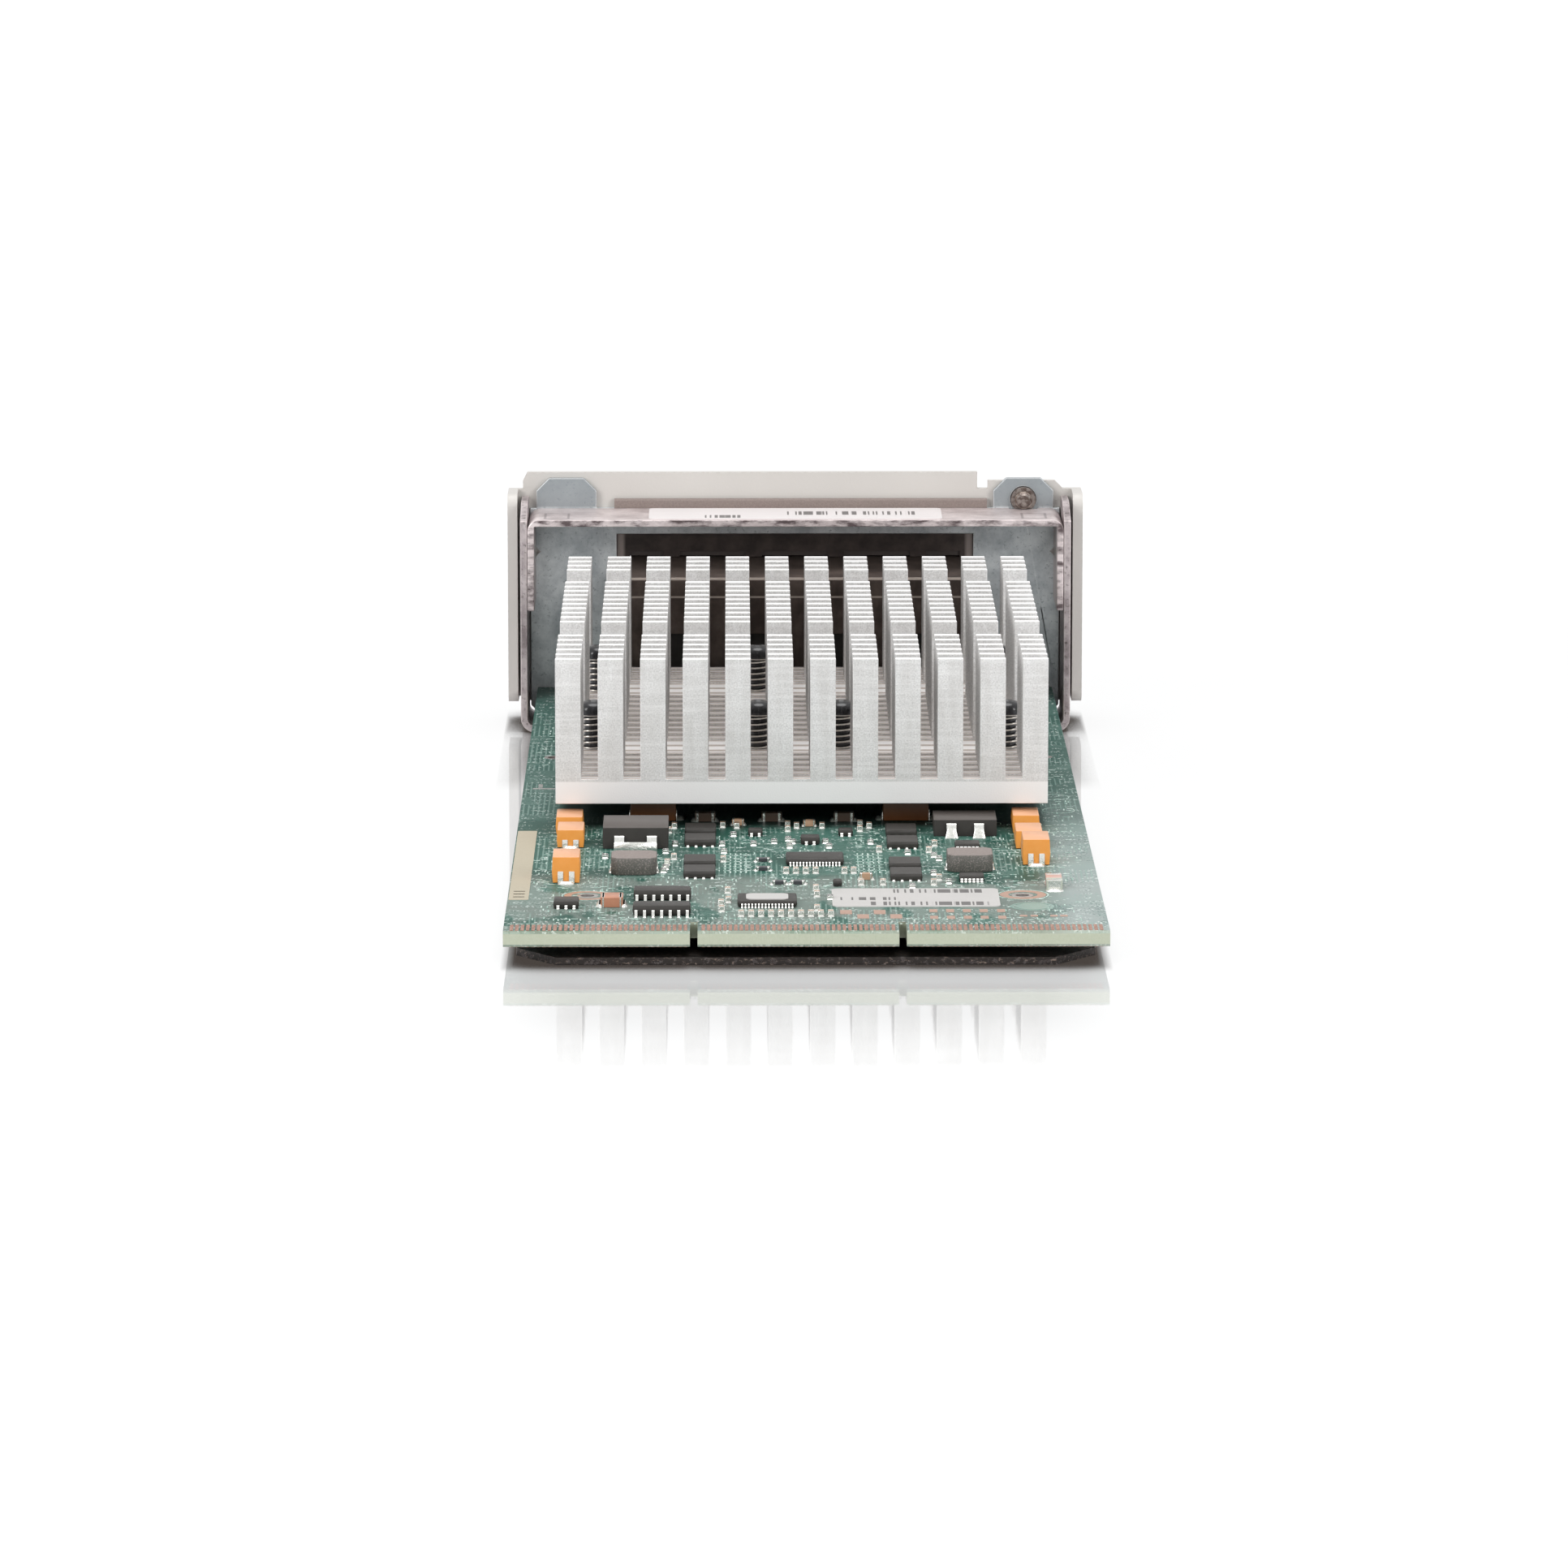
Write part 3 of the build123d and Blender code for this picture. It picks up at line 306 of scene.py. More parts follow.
# Contact fingers: copper strips of the connector edge, etched with the board and thinly gold plated,
# the plating scraped along by many insertions.
def mottled(name, roughness, size, dark, light, detail=3.0, stretch=None, edges=(0.0, 1.0), depth=0.0,
            **kind):
    """A material in two colours mixed by one noise, its patches size millimetres across. The mix runs
    between the two edges, and the noise may also stand out by depth."""
    made, tree, shader, point = finish(name, roughness, **kind)
    patches = grain(tree, point, size, detail, stretch=stretch)
    paint(tree, shader, blend_colour(tree, band(tree, patches, *edges), dark, light))
    if depth:
        relief(tree, shader, patches, depth)
    return made


finger_metal = mottled("finger_gold", 0.40, 0.9, "#8C6252", "#B38A78", detail=4.0, stretch=(4.0, 0.5, 1.0),
                       edges=(0.35, 0.7), metallic=0.35, specular=0.15)
dress(finger_metal, "contact_fingers")


# Pads and bare laminate on the board's top: tinned or bare copper left free of solder mask, a strip
# of plain laminate at the left side and round mounting pads.
def on_card(points):
    """Points across the card, from its connector edge and above its top, moved to the shared frame."""
    return np.asarray(points, float) + (0.0, edge_mm, top_mm)


def form_of(points, faces):
    """A form: its points, and its faces as one run of corner numbers with each face's size."""
    sizes = np.array([len(face) for face in faces])
    return np.asarray(points, float).reshape(-1, 3), np.concatenate([np.asarray(f) for f in faces]), sizes


def tube_form(rings, joined=False):
    """A tube through rings of points, each ring listed anticlockwise as seen from the last. A face
    closes it at each end, or it is joined back onto its first ring."""
    grid = np.arange(rings.shape[0] * rings.shape[1]).reshape(rings.shape[:2])
    rows = np.concatenate([grid, grid[:1]]) if joined else grid
    after = np.roll(rows, -1, axis=1)
    walls = np.stack([rows[:-1], after[:-1], after[1:], rows[1:]], -1).reshape(-1, 4)
    return form_of(rings, list(walls) + ([] if joined else [grid[0, ::-1], grid[-1]]))


def block_form(half, corner, profile, steps=3):
    """A closed block about the origin: a rounded rectangle at each (level, inset) of the profile, each
    corner a quarter circle in equal steps, with one face closing the lowest and the highest ring."""
    quarter = np.linspace(0.0, 90.0, steps)
    turn = np.radians(np.repeat([0.0, 90.0, 180.0, 270.0], steps) + np.tile(quarter, 4))
    side = np.repeat([(1, 1), (-1, 1), (-1, -1), (1, -1)], steps, axis=0)
    level, inset = np.array(profile, float).T
    radius = np.maximum(corner - inset, 0.25 * corner)
    core = np.array(half, float)[None] - inset[:, None] - radius[:, None]
    round_part = radius[:, None, None] * np.stack([np.cos(turn), np.sin(turn)], -1)[None]
    flat = core[:, None, :] * side[None] + round_part
    upright = np.broadcast_to(level[:, None, None], flat.shape[:2] + (1,))
    return tube_form(np.concatenate([flat, upright], -1))


def lathe_form(profile, steps=24):
    """A profile of (radius, level) points turned about the upright axis, closed by a face at each end."""
    turn = np.linspace(0.0, 2.0 * np.pi, steps, endpoint=False)
    radius, level = np.array(profile, float).T
    return tube_form(np.stack([radius[:, None] * np.cos(turn), radius[:, None] * np.sin(turn),
                               np.broadcast_to(level[:, None], (len(level), steps))], -1))


def set_at(form, places, turns=0.0):
    """Copies of a form at each place, each turned about its own upright axis by degrees."""
    points, corners, sizes = form
    places = np.atleast_2d(np.array(places, float))
    if places.shape[1] == 2:
        places = np.concatenate([places, np.zeros((len(places), 1))], 1)
    angle = np.radians(np.broadcast_to(turns, len(places)))[:, None]
    x, y, z = points.T[:, None, :]
    turned = np.stack([x * np.cos(angle) - y * np.sin(angle), x * np.sin(angle) + y * np.cos(angle),
                       np.broadcast_to(z, (len(places), len(points)))], -1) + places[:, None, :]
    shift = np.arange(len(places))[:, None] * len(points)
    return turned.reshape(-1, 3), (corners[None] + shift).ravel(), np.tile(sizes, len(places))


def merged(*forms):
    """Several forms as one."""
    shifts = np.cumsum([0] + [len(form[0]) for form in forms[:-1]])
    return (np.concatenate([form[0] for form in forms]),
            np.concatenate([form[1] + shift for form, shift in zip(forms, shifts)]),
            np.concatenate([form[2] for form in forms]))


def make_piece(name, forms, materials, body="card", replaces=(), sharp=40.0):
    """One mesh piece from forms in card places, each with the number of its material. It rides on a
    body, and edges that turn by more than sharp degrees stay crisp."""
    points, corners, sizes = merged(*[form for form, _ in forms])
    points = on_card(points) * mm
    numbers = np.concatenate([np.full(len(form[2]), number) for form, number in forms])
    mesh = bpy.data.meshes.new(name)
    mesh.vertices.add(len(points))
    mesh.vertices.foreach_set("co", points.astype(np.float32).ravel())
    mesh.loops.add(len(corners))
    mesh.loops.foreach_set("vertex_index", corners.astype(np.int32))
    mesh.polygons.add(len(sizes))
    mesh.polygons.foreach_set("loop_start", (np.cumsum(sizes) - sizes).astype(np.int32))
    mesh.polygons.foreach_set("material_index", numbers.astype(np.int32))
    mesh.update(calc_edges=True)
    mesh.shade_smooth()
    mesh.set_sharp_from_angle(angle=math.radians(sharp))
    for material in materials:
        mesh.materials.append(material)
    piece = bpy.data.objects.new(name, mesh)
    scene.collection.objects.link(piece)
    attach(piece, body)
    if replaces:
        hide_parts(*replaces)
    return piece


def flat_form(size, thick=0.035, corner=0.06):
    """A thin pad with rounded corners, lying on the board."""
    return block_form((size[0] / 2, size[1] / 2), corner, [(0.0, 0.0), (thick, 0.0)], steps=2)


def ring_form(outer, inner, thick=0.03, steps=40):
    """A flat ring with a rectangular section, its four walls following two circles."""
    turn = np.linspace(0.0, 2.0 * np.pi, steps, endpoint=False)
    section = np.array([(outer, 0.0), (outer, thick), (inner, thick), (inner, 0.0)])
    return tube_form(np.stack([section[:, None, 0] * np.cos(turn), section[:, None, 0] * np.sin(turn),
                               np.broadcast_to(section[:, None, 1], (4, steps))], -1), joined=True)


bare_copper = mottled("bare_copper_pads", 0.38, 0.5, "#A67F6C", "#C6A390", metallic=0.55)
solder = mottled("bright_solder", 0.22, 0.4, "#C9CBC6", "#F4F4EE", depth=0.05, metallic=0.9)
bare_board = mottled("bare_laminate", 0.5, 0.5, "#A0967F", "#B3AA96", stretch=(1.0, 3.0, 1.0))
white_ink = mottled("white_silk_ink", 0.55, 0.45, "#7FA697", "#D9E2DC", detail=4.0, edges=(0.40, 0.62),
                    specular=0.2)
pale_mask = mottled("pale_mask", 0.3, 0.8, "#4F7A6C", "#6C9587", coat=0.5, coat_roughness=0.2)

resistor_rows = [(x, d) for x in (19.0, 21.5, 24.0, 26.5, 29.1) for d in (15.6, 10.4)]
pad_forms = [
    (set_at(flat_form((1.75, 3.2)), [(6.0, 14.6), (11.0, 14.6)]), 0),
    (set_at(flat_form((1.75, 3.2)), [(8.5, 11.2), (13.4, 11.2)]), 0),
    (set_at(flat_form((1.2, 2.3)), resistor_rows), 0),
    (set_at(flat_form((1.1, 1.2)), [(x, 11.6) for x in (32.3, 33.9, 36.8, 38.3)]), 0),
    (set_at(ring_form(3.5, 2.2), (32.8, 28.3)), 0),
    (set_at(ring_form(3.5, 2.4), (-32.7, 28.0)), 0),
    (set_at(flat_form((3.0, 57.6), corner=0.2), (-43.0, 53.4)), 2),
    (set_at(flat_form((1.7, 0.45)), [(-43.0, d) for d in (26.9, 29.2, 31.4)]), 0),
    (set_at(flat_form((3.6, 1.1)), (-41.3, 120.2)), 1),
    (set_at(flat_form((0.7, 3.2)), (-41.9, 122.6)), 1),
    (set_at(ring_form(3.3, 2.75), (33.9, 19.0)), 4),
    (set_at(lathe_form([(2.6, 0.0), (2.6, 0.03)], 32), (33.9, 19.0)), 4)]
make_piece("board_pads", pad_forms, [bare_copper, solder, bare_board, white_ink, pale_mask])


# Screen-printed marks: white ink corner brackets round the packages and rows of short ticks, with
# no lettering.
def bracket_form(half, reach, line=0.16):
    """Four corner brackets round a rectangle, each of two thin strips."""
    across, along = flat_form((reach, line), 0.02, 0.03), flat_form((line, reach), 0.02, 0.03)
    x, y = half
    ends = [(sx * (x - reach / 2), sy * y) for sx in (-1, 1) for sy in (-1, 1)]
    sides = [(sx * x, sy * (y - reach / 2)) for sx in (-1, 1) for sy in (-1, 1)]
    return merged(set_at(across, ends), set_at(along, sides))


flat_places = [(-15.9, 44.8), (-15.9, 53.5), (-15.9, 71.5), (-15.9, 80.5), (15.5, 42.5), (15.5, 51.3),
               (15.5, 69.4), (15.5, 79.8)]
so14_places = [(-21.4, 13.6), (-21.4, 25.8)]
fine_places = [(-5.7, 21.4), (1.75, 55.4)]
choke_places = [(-25.9, 47.8), (25.4, 50.0)]
tantalum_tall_places = [(-36.1, 41.5), (35.7, 55.9)]
tantalum_low_places = [(-36.0, 71.0), (-36.4, 82.3), (35.1, 69.7), (35.1, 83.3)]
tantalum_across_places = [(-23.4, 92.5), (16.5, 92.5)]
transistor_places = [(-25.9, 72.3), (25.5, 81.4)]
draw = np.random.default_rng(7)
tick = flat_form((0.21, 1.4), 0.02, 0.03)
dash = flat_form((1.0, 0.3), 0.02, 0.03)
mark_fields = [
    ((-41.0, -38.6), (33.0, 62.0), 26), ((38.6, 43.0), (46.0, 140.0), 60),
    ((-33.5, -30.5), (30.0, 70.0), 18), ((-22.6, -19.5), (36.0, 66.0), 22),
    ((-10.8, 4.6), (58.5, 76.0), 44), ((8.2, 12.2), (66.0, 84.0), 26), ((29.8, 33.0), (36.0, 78.0), 24),
    ((-43.0, -39.6), (132.0, 190.0), 24), ((-8.0, 8.0), (34.0, 43.0), 28),
    ((-13.0, -10.5), (12.0, 32.0), 14),
    ((19.0, 24.0), (38.0, 64.0), 16), ((-40.0, -33.0), (12.0, 38.0), 18), ((-41.0, 41.0), (8.2, 10.6), 90),
    ((-18.0, 4.0), (33.0, 45.0), 40), ((20.0, 41.0), (34.0, 46.0), 34), ((-31.0, -27.0), (9.0, 38.0), 24),
    ((29.5, 41.0), (11.0, 27.0), 26), ((30.5, 38.0), (59.0, 66.0), 14)]
spots = np.concatenate([draw.uniform((xs[0], ds[0]), (xs[1], ds[1]), (count, 2))
                        for xs, ds, count in mark_fields])
tick_rows = [(x + 0.8 * i, 47.0 + 2.5 * j) for x in (-12.0, 8.4) for i in range(5) for j in range(7)]
dash_rows = [(x + 1.6 * i, 48.2 + 2.5 * j) for x in (-11.8, 8.6) for i in range(3) for j in range(6)]
ink_forms = [
    (set_at(bracket_form((3.0, 3.9), 1.2), flat_places), 0),
    (set_at(bracket_form((4.9, 3.6), 1.4), so14_places), 0),
    (set_at(bracket_form((5.1, 4.9), 1.5), fine_places), 0),
    (set_at(bracket_form((4.2, 4.4), 1.6), choke_places), 0),
    (set_at(bracket_form((2.7, 4.4), 1.2), tantalum_tall_places + tantalum_low_places), 0),
    (set_at(bracket_form((5.9, 7.6), 1.8), transistor_places), 0),
    (set_at(ring_form(3.9, 3.7), [(32.8, 28.3), (-32.7, 28.0)]), 0),
    (set_at(ring_form(2.6, 2.45), [(41.0, 100.0), (40.6, 112.0)]), 0),
    (set_at(tick, tick_rows), 0),
    (set_at(dash, dash_rows), 0),
    (set_at(tick, spots[::2]), 0),
    (set_at(dash, spots[1::2]), 0)]
make_piece("silk_marks", ink_forms, [white_ink])
finger_pitch = 0.8
finger_marks = set_at(flat_form((0.3, 0.5), 0.02, 0.05),
                      [(-43.6 + finger_pitch * i, 5.6) for i in range(110)])
finger_vias = set_at(lathe_form([(0.22, 0.0), (0.22, 0.03)], 8),
                     [(-43.2 + 2 * finger_pitch * i, 6.9 + 0.5 * (i % 2)) for i in range(55)])
make_piece("finger_row_pads", [(finger_marks, 0), (finger_vias, 1)], [white_ink, solder])


# Chip resistors and capacitors: small fired ceramic blocks with solder on both ends, reflowed on
# their pads. Those that stand under the heat sink get painted shade.
def chip_part_forms(size, places, turns=0.0):
    """A ceramic body with two wrapped end caps and a solder fillet below each cap."""
    length, width, height = size
    cap = 0.24 * length
    core = block_form((length / 2 - 0.02, width / 2), 0.06 * width, [(0.05, 0.0), (height - 0.03, 0.0),
                                                                     (height, 0.05)], steps=2)
    end = block_form((cap / 2, width / 2 + 0.03), 0.12 * width,
                     [(0.02, 0.0), (height - 0.04, 0.0), (height + 0.02, 0.07 * width)], steps=2)
    foot = block_form((cap * 0.8, width / 2 + 0.12), 0.2 * width, [(0.0, 0.0), (0.3 * height, cap * 0.45)],
                      steps=3)
    ends = np.array([(-length / 2 + cap / 2, 0.0, 0.0), (length / 2 - cap / 2, 0.0, 0.0)])
    feet = np.array([(-length / 2 - 0.02, 0.0, 0.0), (length / 2 + 0.02, 0.0, 0.0)])
    caps, fillets = set_at(end, ends), set_at(foot, feet)
    return [(set_at(form, places, turns), number) for form, number in ((core, 0), (caps, 1), (fillets, 1))]


tan_ceramic, tree, shader, point = finish("tan_ceramic", 0.4)
fine = grain(tree, point, 0.7, 3.0)
# Painted shade on the parts that stand under the heat sink.
painted_sink_shade = band(tree, split(tree, point)[1], edge_mm + 87.5, edge_mm + 89.0)
colour = blend_colour(tree, fine, "#9A7A60", "#B8977C")
paint(tree, shader, blend_colour(tree, times(tree, painted_sink_shade, 0.9), colour, "#241810"))
dark_ceramic = mottled("dark_resistor_body", 0.4, 0.5, "#2B2B2E", "#46464A")

row_places = [(-9.6 + 1.48 * i, 12.0) for i in range(10)]
middle_places = [(-2.7 + 1.5 * i, 46.6) for i in range(4)] + [(6.2, 46.6), (7.6, 46.6)]
shadow_places = [(-15.2, 91.0), (-4.7, 91.0), (6.7, 91.0)]
small_upright = (row_places + middle_places +
                 [(1.7, 32.4), (-11.6, 30.5), (-11.5, 22.9), (-20.0, 85.0), (-20.8, 80.9), (-12.4, 85.7),
                  (-10.2, 85.0), (-2.2, 86.3), (-2.2, 82.2), (-0.8, 85.0), (3.2, 85.0), (9.2, 87.0),
                  (9.1, 82.2), (10.6, 85.0), (-19.9, 58.2), (-20.9, 53.6), (-12.3, 56.2), (11.8, 64.4),
                  (20.5, 69.4), (19.5, 63.9), (8.6, 36.9), (11.9, 36.9), (19.6, 36.9), (20.5, 40.7),
                  (1.8, 27.5), (-12.6, 20.6), (-12.5, 15.7), (1.7, 16.3)])
make_piece("ceramic_chip_capacitors", chip_part_forms((1.5, 0.8, 0.8), small_upright, 90.0)
           + chip_part_forms((3.2, 1.8, 1.4), shadow_places)
           + chip_part_forms((1.9, 1.3, 1.0), [(-10.0, 87.4), (1.2, 86.4), (9.4, 41.0)]),
           [tan_ceramic, solder])
loose_places = [(-21.2, 63.7), (-21.1, 50.3), (-12.2, 63.7), (-7.6, 70.2), (20.9, 57.4), (19.8, 45.5),
                (10.6, 71.5), (-10.7, 78.2), (-4.4, 72.0), (21.9, 38.2), (-19.8, 70.1), (-12.5, 70.1),
                (-21.4, 47.6), (-30.5, 59.5), (-2.2, 74.1), (-1.5, 71.8), (-2.0, 68.1), (3.6, 72.1),
                (4.1, 68.1), (20.2, 60.2), (16.2, 62.5), (16.3, 34.6), (3.8, 25.6)]
make_piece("chip_resistors", chip_part_forms((1.6, 0.85, 0.5), loose_places, 90.0)
           + chip_part_forms((2.1, 1.25, 0.55), [(-3.8, 37.3), (-1.0, 37.3), (-6.2, 56.1), (-6.2, 48.7)]),
           [dark_ceramic, solder])

brown_ceramic = mottled("brown_ceramic", 0.38, 1.2, "#A66E54", "#BB8468")
make_piece("large_ceramic_capacitor", chip_part_forms((3.4, 4.3, 1.5), [(-28.9, 20.6)]),
           [brown_ceramic, solder], replaces=("ceramic_capacitors",))


# Tantalum capacitors: orange resin moulded round a sintered core, with the tinned lead frame folded
# down both ends and under, split in two at the positive end.
def tantalum_forms(height, places, turns=0.0):
    """Body with draft above and below its parting line, a lead at each end and a bead of solder."""
    half = (2.15, 3.65)
    middle = 0.45 * height
    body = block_form(half, 0.16, [(0.12, 0.14), (middle, 0.0), (height - 0.10, 0.12), (height, 0.24)],
                      steps=2)
    folded = [(0.0, 0.0), (middle - 0.05, 0.0), (middle + 0.02, 0.04)]
    prong = block_form((0.42, 0.10), 0.05, folded, steps=2)
    strap = block_form((1.15, 0.10), 0.05, folded, steps=2)
    leads = merged(set_at(prong, [(-0.85, -half[1] - 0.02), (0.85, -half[1] - 0.02)]),
                   set_at(strap, (0.0, half[1] + 0.02)))
    bead = block_form((1.25, 0.75), 0.6, [(0.0, 0.0), (0.20, 0.12), (0.42, 0.40), (0.50, 0.62)], steps=5)
    beads = set_at(bead, [(0.0, -half[1] - 0.45), (0.0, half[1] + 0.45)])
    return [(set_at(form, places, turns), number) for form, number in ((body, 0), (leads, 1), (beads, 1))]


orange_resin, tree, shader, point = finish("orange_resin", 0.40)
fine = grain(tree, point, 1.4, 4.0)
pit = grain(tree, point, 0.18, 2.0)
# Painted light: the top faces are paler than the sides.
upright = facing(tree, 2)
colour = blend_colour(tree, fine, "#DC8C35", "#E49C50")
colour = blend_colour(tree, band(tree, upright, 0.35, 0.95), colour, "#D9A078")
# Painted shade on the capacitors that stand under the heat sink.
painted_sink_shade = band(tree, split(tree, point)[1], edge_mm + 87.0, edge_mm + 88.5)
colour = blend_colour(tree, times(tree, painted_sink_shade, 0.9), colour, "#3A1808")
paint(tree, shader, colour)
relief(tree, shader, pit, 0.012)
make_piece("resin_tantalums", tantalum_forms(4.1, tantalum_tall_places)
           + tantalum_forms(2.9, tantalum_low_places) + tantalum_forms(2.9, tantalum_across_places, 90.0),
           [orange_resin, solder], replaces=("tantalum_capacitors",))


# Moulded chip packages: black epoxy bodies, drawn in above and below the parting line of their mould,
# with rows of bent tinned leads soldered to the board.
def package_form(half, low, high, draft=0.14):
    """A body drawn in above and below its parting line, its edges broken by the mould."""
    middle = (low + high) / 2
    return block_form(half, 0.18, [(low, draft), (middle - 0.05, 0.0), (middle + 0.05, 0.0),
                                   (high - 0.07, draft), (high, draft + 0.08)], steps=2)


def lead_form(reach, shoulder, width, thick=0.2, foot=0.6, steps=6):
    """A flat lead bent twice: out from the body, down along a smooth S, and out along the board. Its
    section is carried along the centre line with its thickness across it."""
    run = reach - foot
    s = np.linspace(0.0, 1.0, 2 * steps + 1)
    ease = s * s * (3.0 - 2.0 * s)
    out = np.concatenate([[0.0], 0.12 + (run - 0.12) * s, [reach]])
    level = np.concatenate([[shoulder], shoulder + (thick / 2 - shoulder) * ease, [thick / 2]])
    along = np.gradient(out)
    up = np.gradient(level)
    size = np.hypot(along, up)
    normal = np.stack([-up / size, along / size], -1) * thick / 2
    rings = np.stack([
        np.stack([np.full_like(out, side * width / 2), -out - push * normal[:, 0],
                  level + push * normal[:, 1]], -1)
        for side, push in ((-1, -1), (1, -1), (1, 1), (-1, 1))], 1)
    return tube_form(rings)


def lead_rows(places, count, pitch, body_half):
    """Where the two rows of leads leave each body, and how each is turned."""
    offsets = (np.arange(count) - (count - 1) / 2) * pitch
    spots = [(x + offset, d + side * body_half)
             for x, d in places for side in (-1, 1) for offset in offsets]
    turns = [0.0 if side < 0 else 180.0 for _ in places for side in (-1, 1) for _ in offsets]
    return spots, turns


epoxy, tree, shader, point = finish("black_epoxy", 0.48, specular=0.35)
pit = grain(tree, point, 0.16, 2.0)
haze = grain(tree, point, 2.2, 3.0)
upright = facing(tree, 2)
# Painted highlight: the top faces of the tall packages are lighter.
raised = band(tree, split(tree, point)[2], top_mm + 2.2, top_mm + 2.5)
painted_package_top = times(tree, band(tree, upright, 0.5, 0.9), raised)
colour = blend_colour(tree, haze, "#262421", "#393633")
paint(tree, shader, blend_colour(tree, times(tree, painted_package_top, 0.6), colour, "#5E5753"))
relief(tree, shader, pit, 0.012)
tin = mottled("tinned_leads", 0.26, 0.3, "#BFC0BC", "#EDEDE8", metallic=0.9)

make_piece("so_packages", [
    (set_at(package_form((2.45, 2.95), 0.02, 1.1, 0.08), flat_places), 0),
    (set_at(package_form((4.32, 1.95), 0.15, 1.6), so14_places), 0)], [epoxy],
    replaces=("small_outline_chips",))
so14_spots, so14_turns = lead_rows(so14_places, 7, 1.27, 1.9)
so_lead = lead_form(1.12, 0.82, 0.42)
solder_foot = block_form((0.30, 0.42), 0.15, [(0.0, 0.0), (0.10, 0.08), (0.16, 0.16)], steps=3)
feet = [(x, d + (-0.95 if turn == 0.0 else 0.95)) for (x, d), turn in zip(so14_spots, so14_turns)]
stub = block_form((0.21, 0.30), 0.05, [(0.0, 0.0), (0.20, 0.0), (0.25, 0.05)], steps=2)
stub_bead = block_form((0.30, 0.30), 0.18, [(0.0, 0.0), (0.14, 0.08), (0.24, 0.22)], steps=3)
stub_spots = [(x + offset, d - 3.15) for x, d in flat_places for offset in (-1.905, -0.635, 0.635, 1.905)]
make_piece("so_leads", [
    (set_at(so_lead, so14_spots, so14_turns), 0), (set_at(stub, stub_spots), 0),
    (set_at(solder_foot, feet), 1), (set_at(stub_bead, [(x, d - 0.2) for x, d in stub_spots]), 1)],
    [tin, solder], replaces=("small_outline_leads",))

make_piece("fine_pitch_packages", [(set_at(package_form((4.45, 3.2), 0.15, 1.05, 0.12), fine_places), 0)],
           [epoxy], replaces=("fine_pitch_chips",))
fine_spots, fine_turns = lead_rows(fine_places, 16, 0.5, 3.15)
make_piece("fine_leads", [(set_at(lead_form(1.16, 0.56, 0.24, 0.15, 0.55), fine_spots, fine_turns), 0)],
           [tin], replaces=("fine_pitch_leads",))


# Power transistors: a tall epoxy body over a copper tab, two strong leads bent down close to it, and
# solder that climbs from the pads. The left one's leads stand on one wide plated bar.
def slanted_form(half, low, high, lean):
    """A body whose front face leans back by lean and whose other sides are nearly upright."""
    points, corners, sizes = block_form(half, 0.15, [(low, 0.05), (0.35 * high, 0.0), (high - 0.06, 0.04),
                                                     (high, 0.12)], steps=2)
    rise = (points[:, 2] - low) / (high - low)
    points[:, 1] += lean * rise * (points[:, 1] < 0.0)
    return points, corners, sizes


left_x, left_d = transistor_places[0]
right_x, right_d = transistor_places[1]
make_piece("transistor_packages", [
    (set_at(slanted_form((5.1, 5.6), 0.05, 3.3, 0.25), (left_x, left_d)), 0),
    (set_at(slanted_form((4.95, 4.3), 0.05, 2.6, 0.25), (right_x, right_d)), 0)], [epoxy],
    replaces=("power_transistors",))
left_spots = [(left_x + side * 2.525, left_d - 5.5) for side in (-1, 1)]
right_spots = [(right_x + side * 2.15, right_d - 4.2) for side in (-1, 1)]
bar = block_form((3.35, 0.22), 0.1, [(0.0, 0.0), (1.15, 0.02), (1.30, 0.10)], steps=2)
climb = block_form((1.05, 0.55), 0.25, [(0.0, 0.0), (0.5, 0.18), (1.3, 0.34), (1.5, 0.42)], steps=3)
make_piece("power_leads", [
    (set_at(lead_form(1.7, 1.9, 1.5, 0.4, 0.7), left_spots + right_spots), 0),
    (set_at(bar, (left_x, left_d - 6.9)), 1),
    (set_at(climb, [(x, d - 1.35) for x, d in right_spots]), 1)], [tin, solder],
    replaces=("transistor_leads",))


# Chokes: iron powder pressed round a coil into a square block with rounded corners, with a tinned
# end at each side that is soldered down.
choke_body = block_form((3.5, 3.5), 1.0, [(0.05, 0.10), (0.25, 0.0), (2.5, 0.0), (2.65, 0.10)], steps=2)
powder, tree, shader, point = finish("pressed_powder", 0.55)
fleck = grain(tree, point, 0.22, 3.0)
# Painted light: the top face is lighter than the sides.
upright = facing(tree, 2)
colour = blend_colour(tree, band(tree, upright, 0.3, 0.9), "#53514C", "#7E736E")
colour = blend_colour(tree, band(tree, fleck, 0.5, 0.8), colour, "#958A85")
paint(tree, shader, colour)
relief(tree, shader, fleck, 0.02)
choke_end = block_form((0.14, 1.3), 0.1, [(0.0, 0.0), (0.9, 0.0), (1.0, 0.08)], steps=2)
choke_foot = block_form((0.35, 1.5), 0.3, [(0.0, 0.0), (0.14, 0.1), (0.22, 0.24)], steps=3)
ends = [(x + side * 3.5, d) for x, d in choke_places for side in (-1, 1)]
make_piece("powder_chokes", [(set_at(choke_body, choke_places), 0), (set_at(choke_end, ends), 1),
                             (set_at(choke_foot, ends), 1)],
           [powder, tin], replaces=("chokes",))

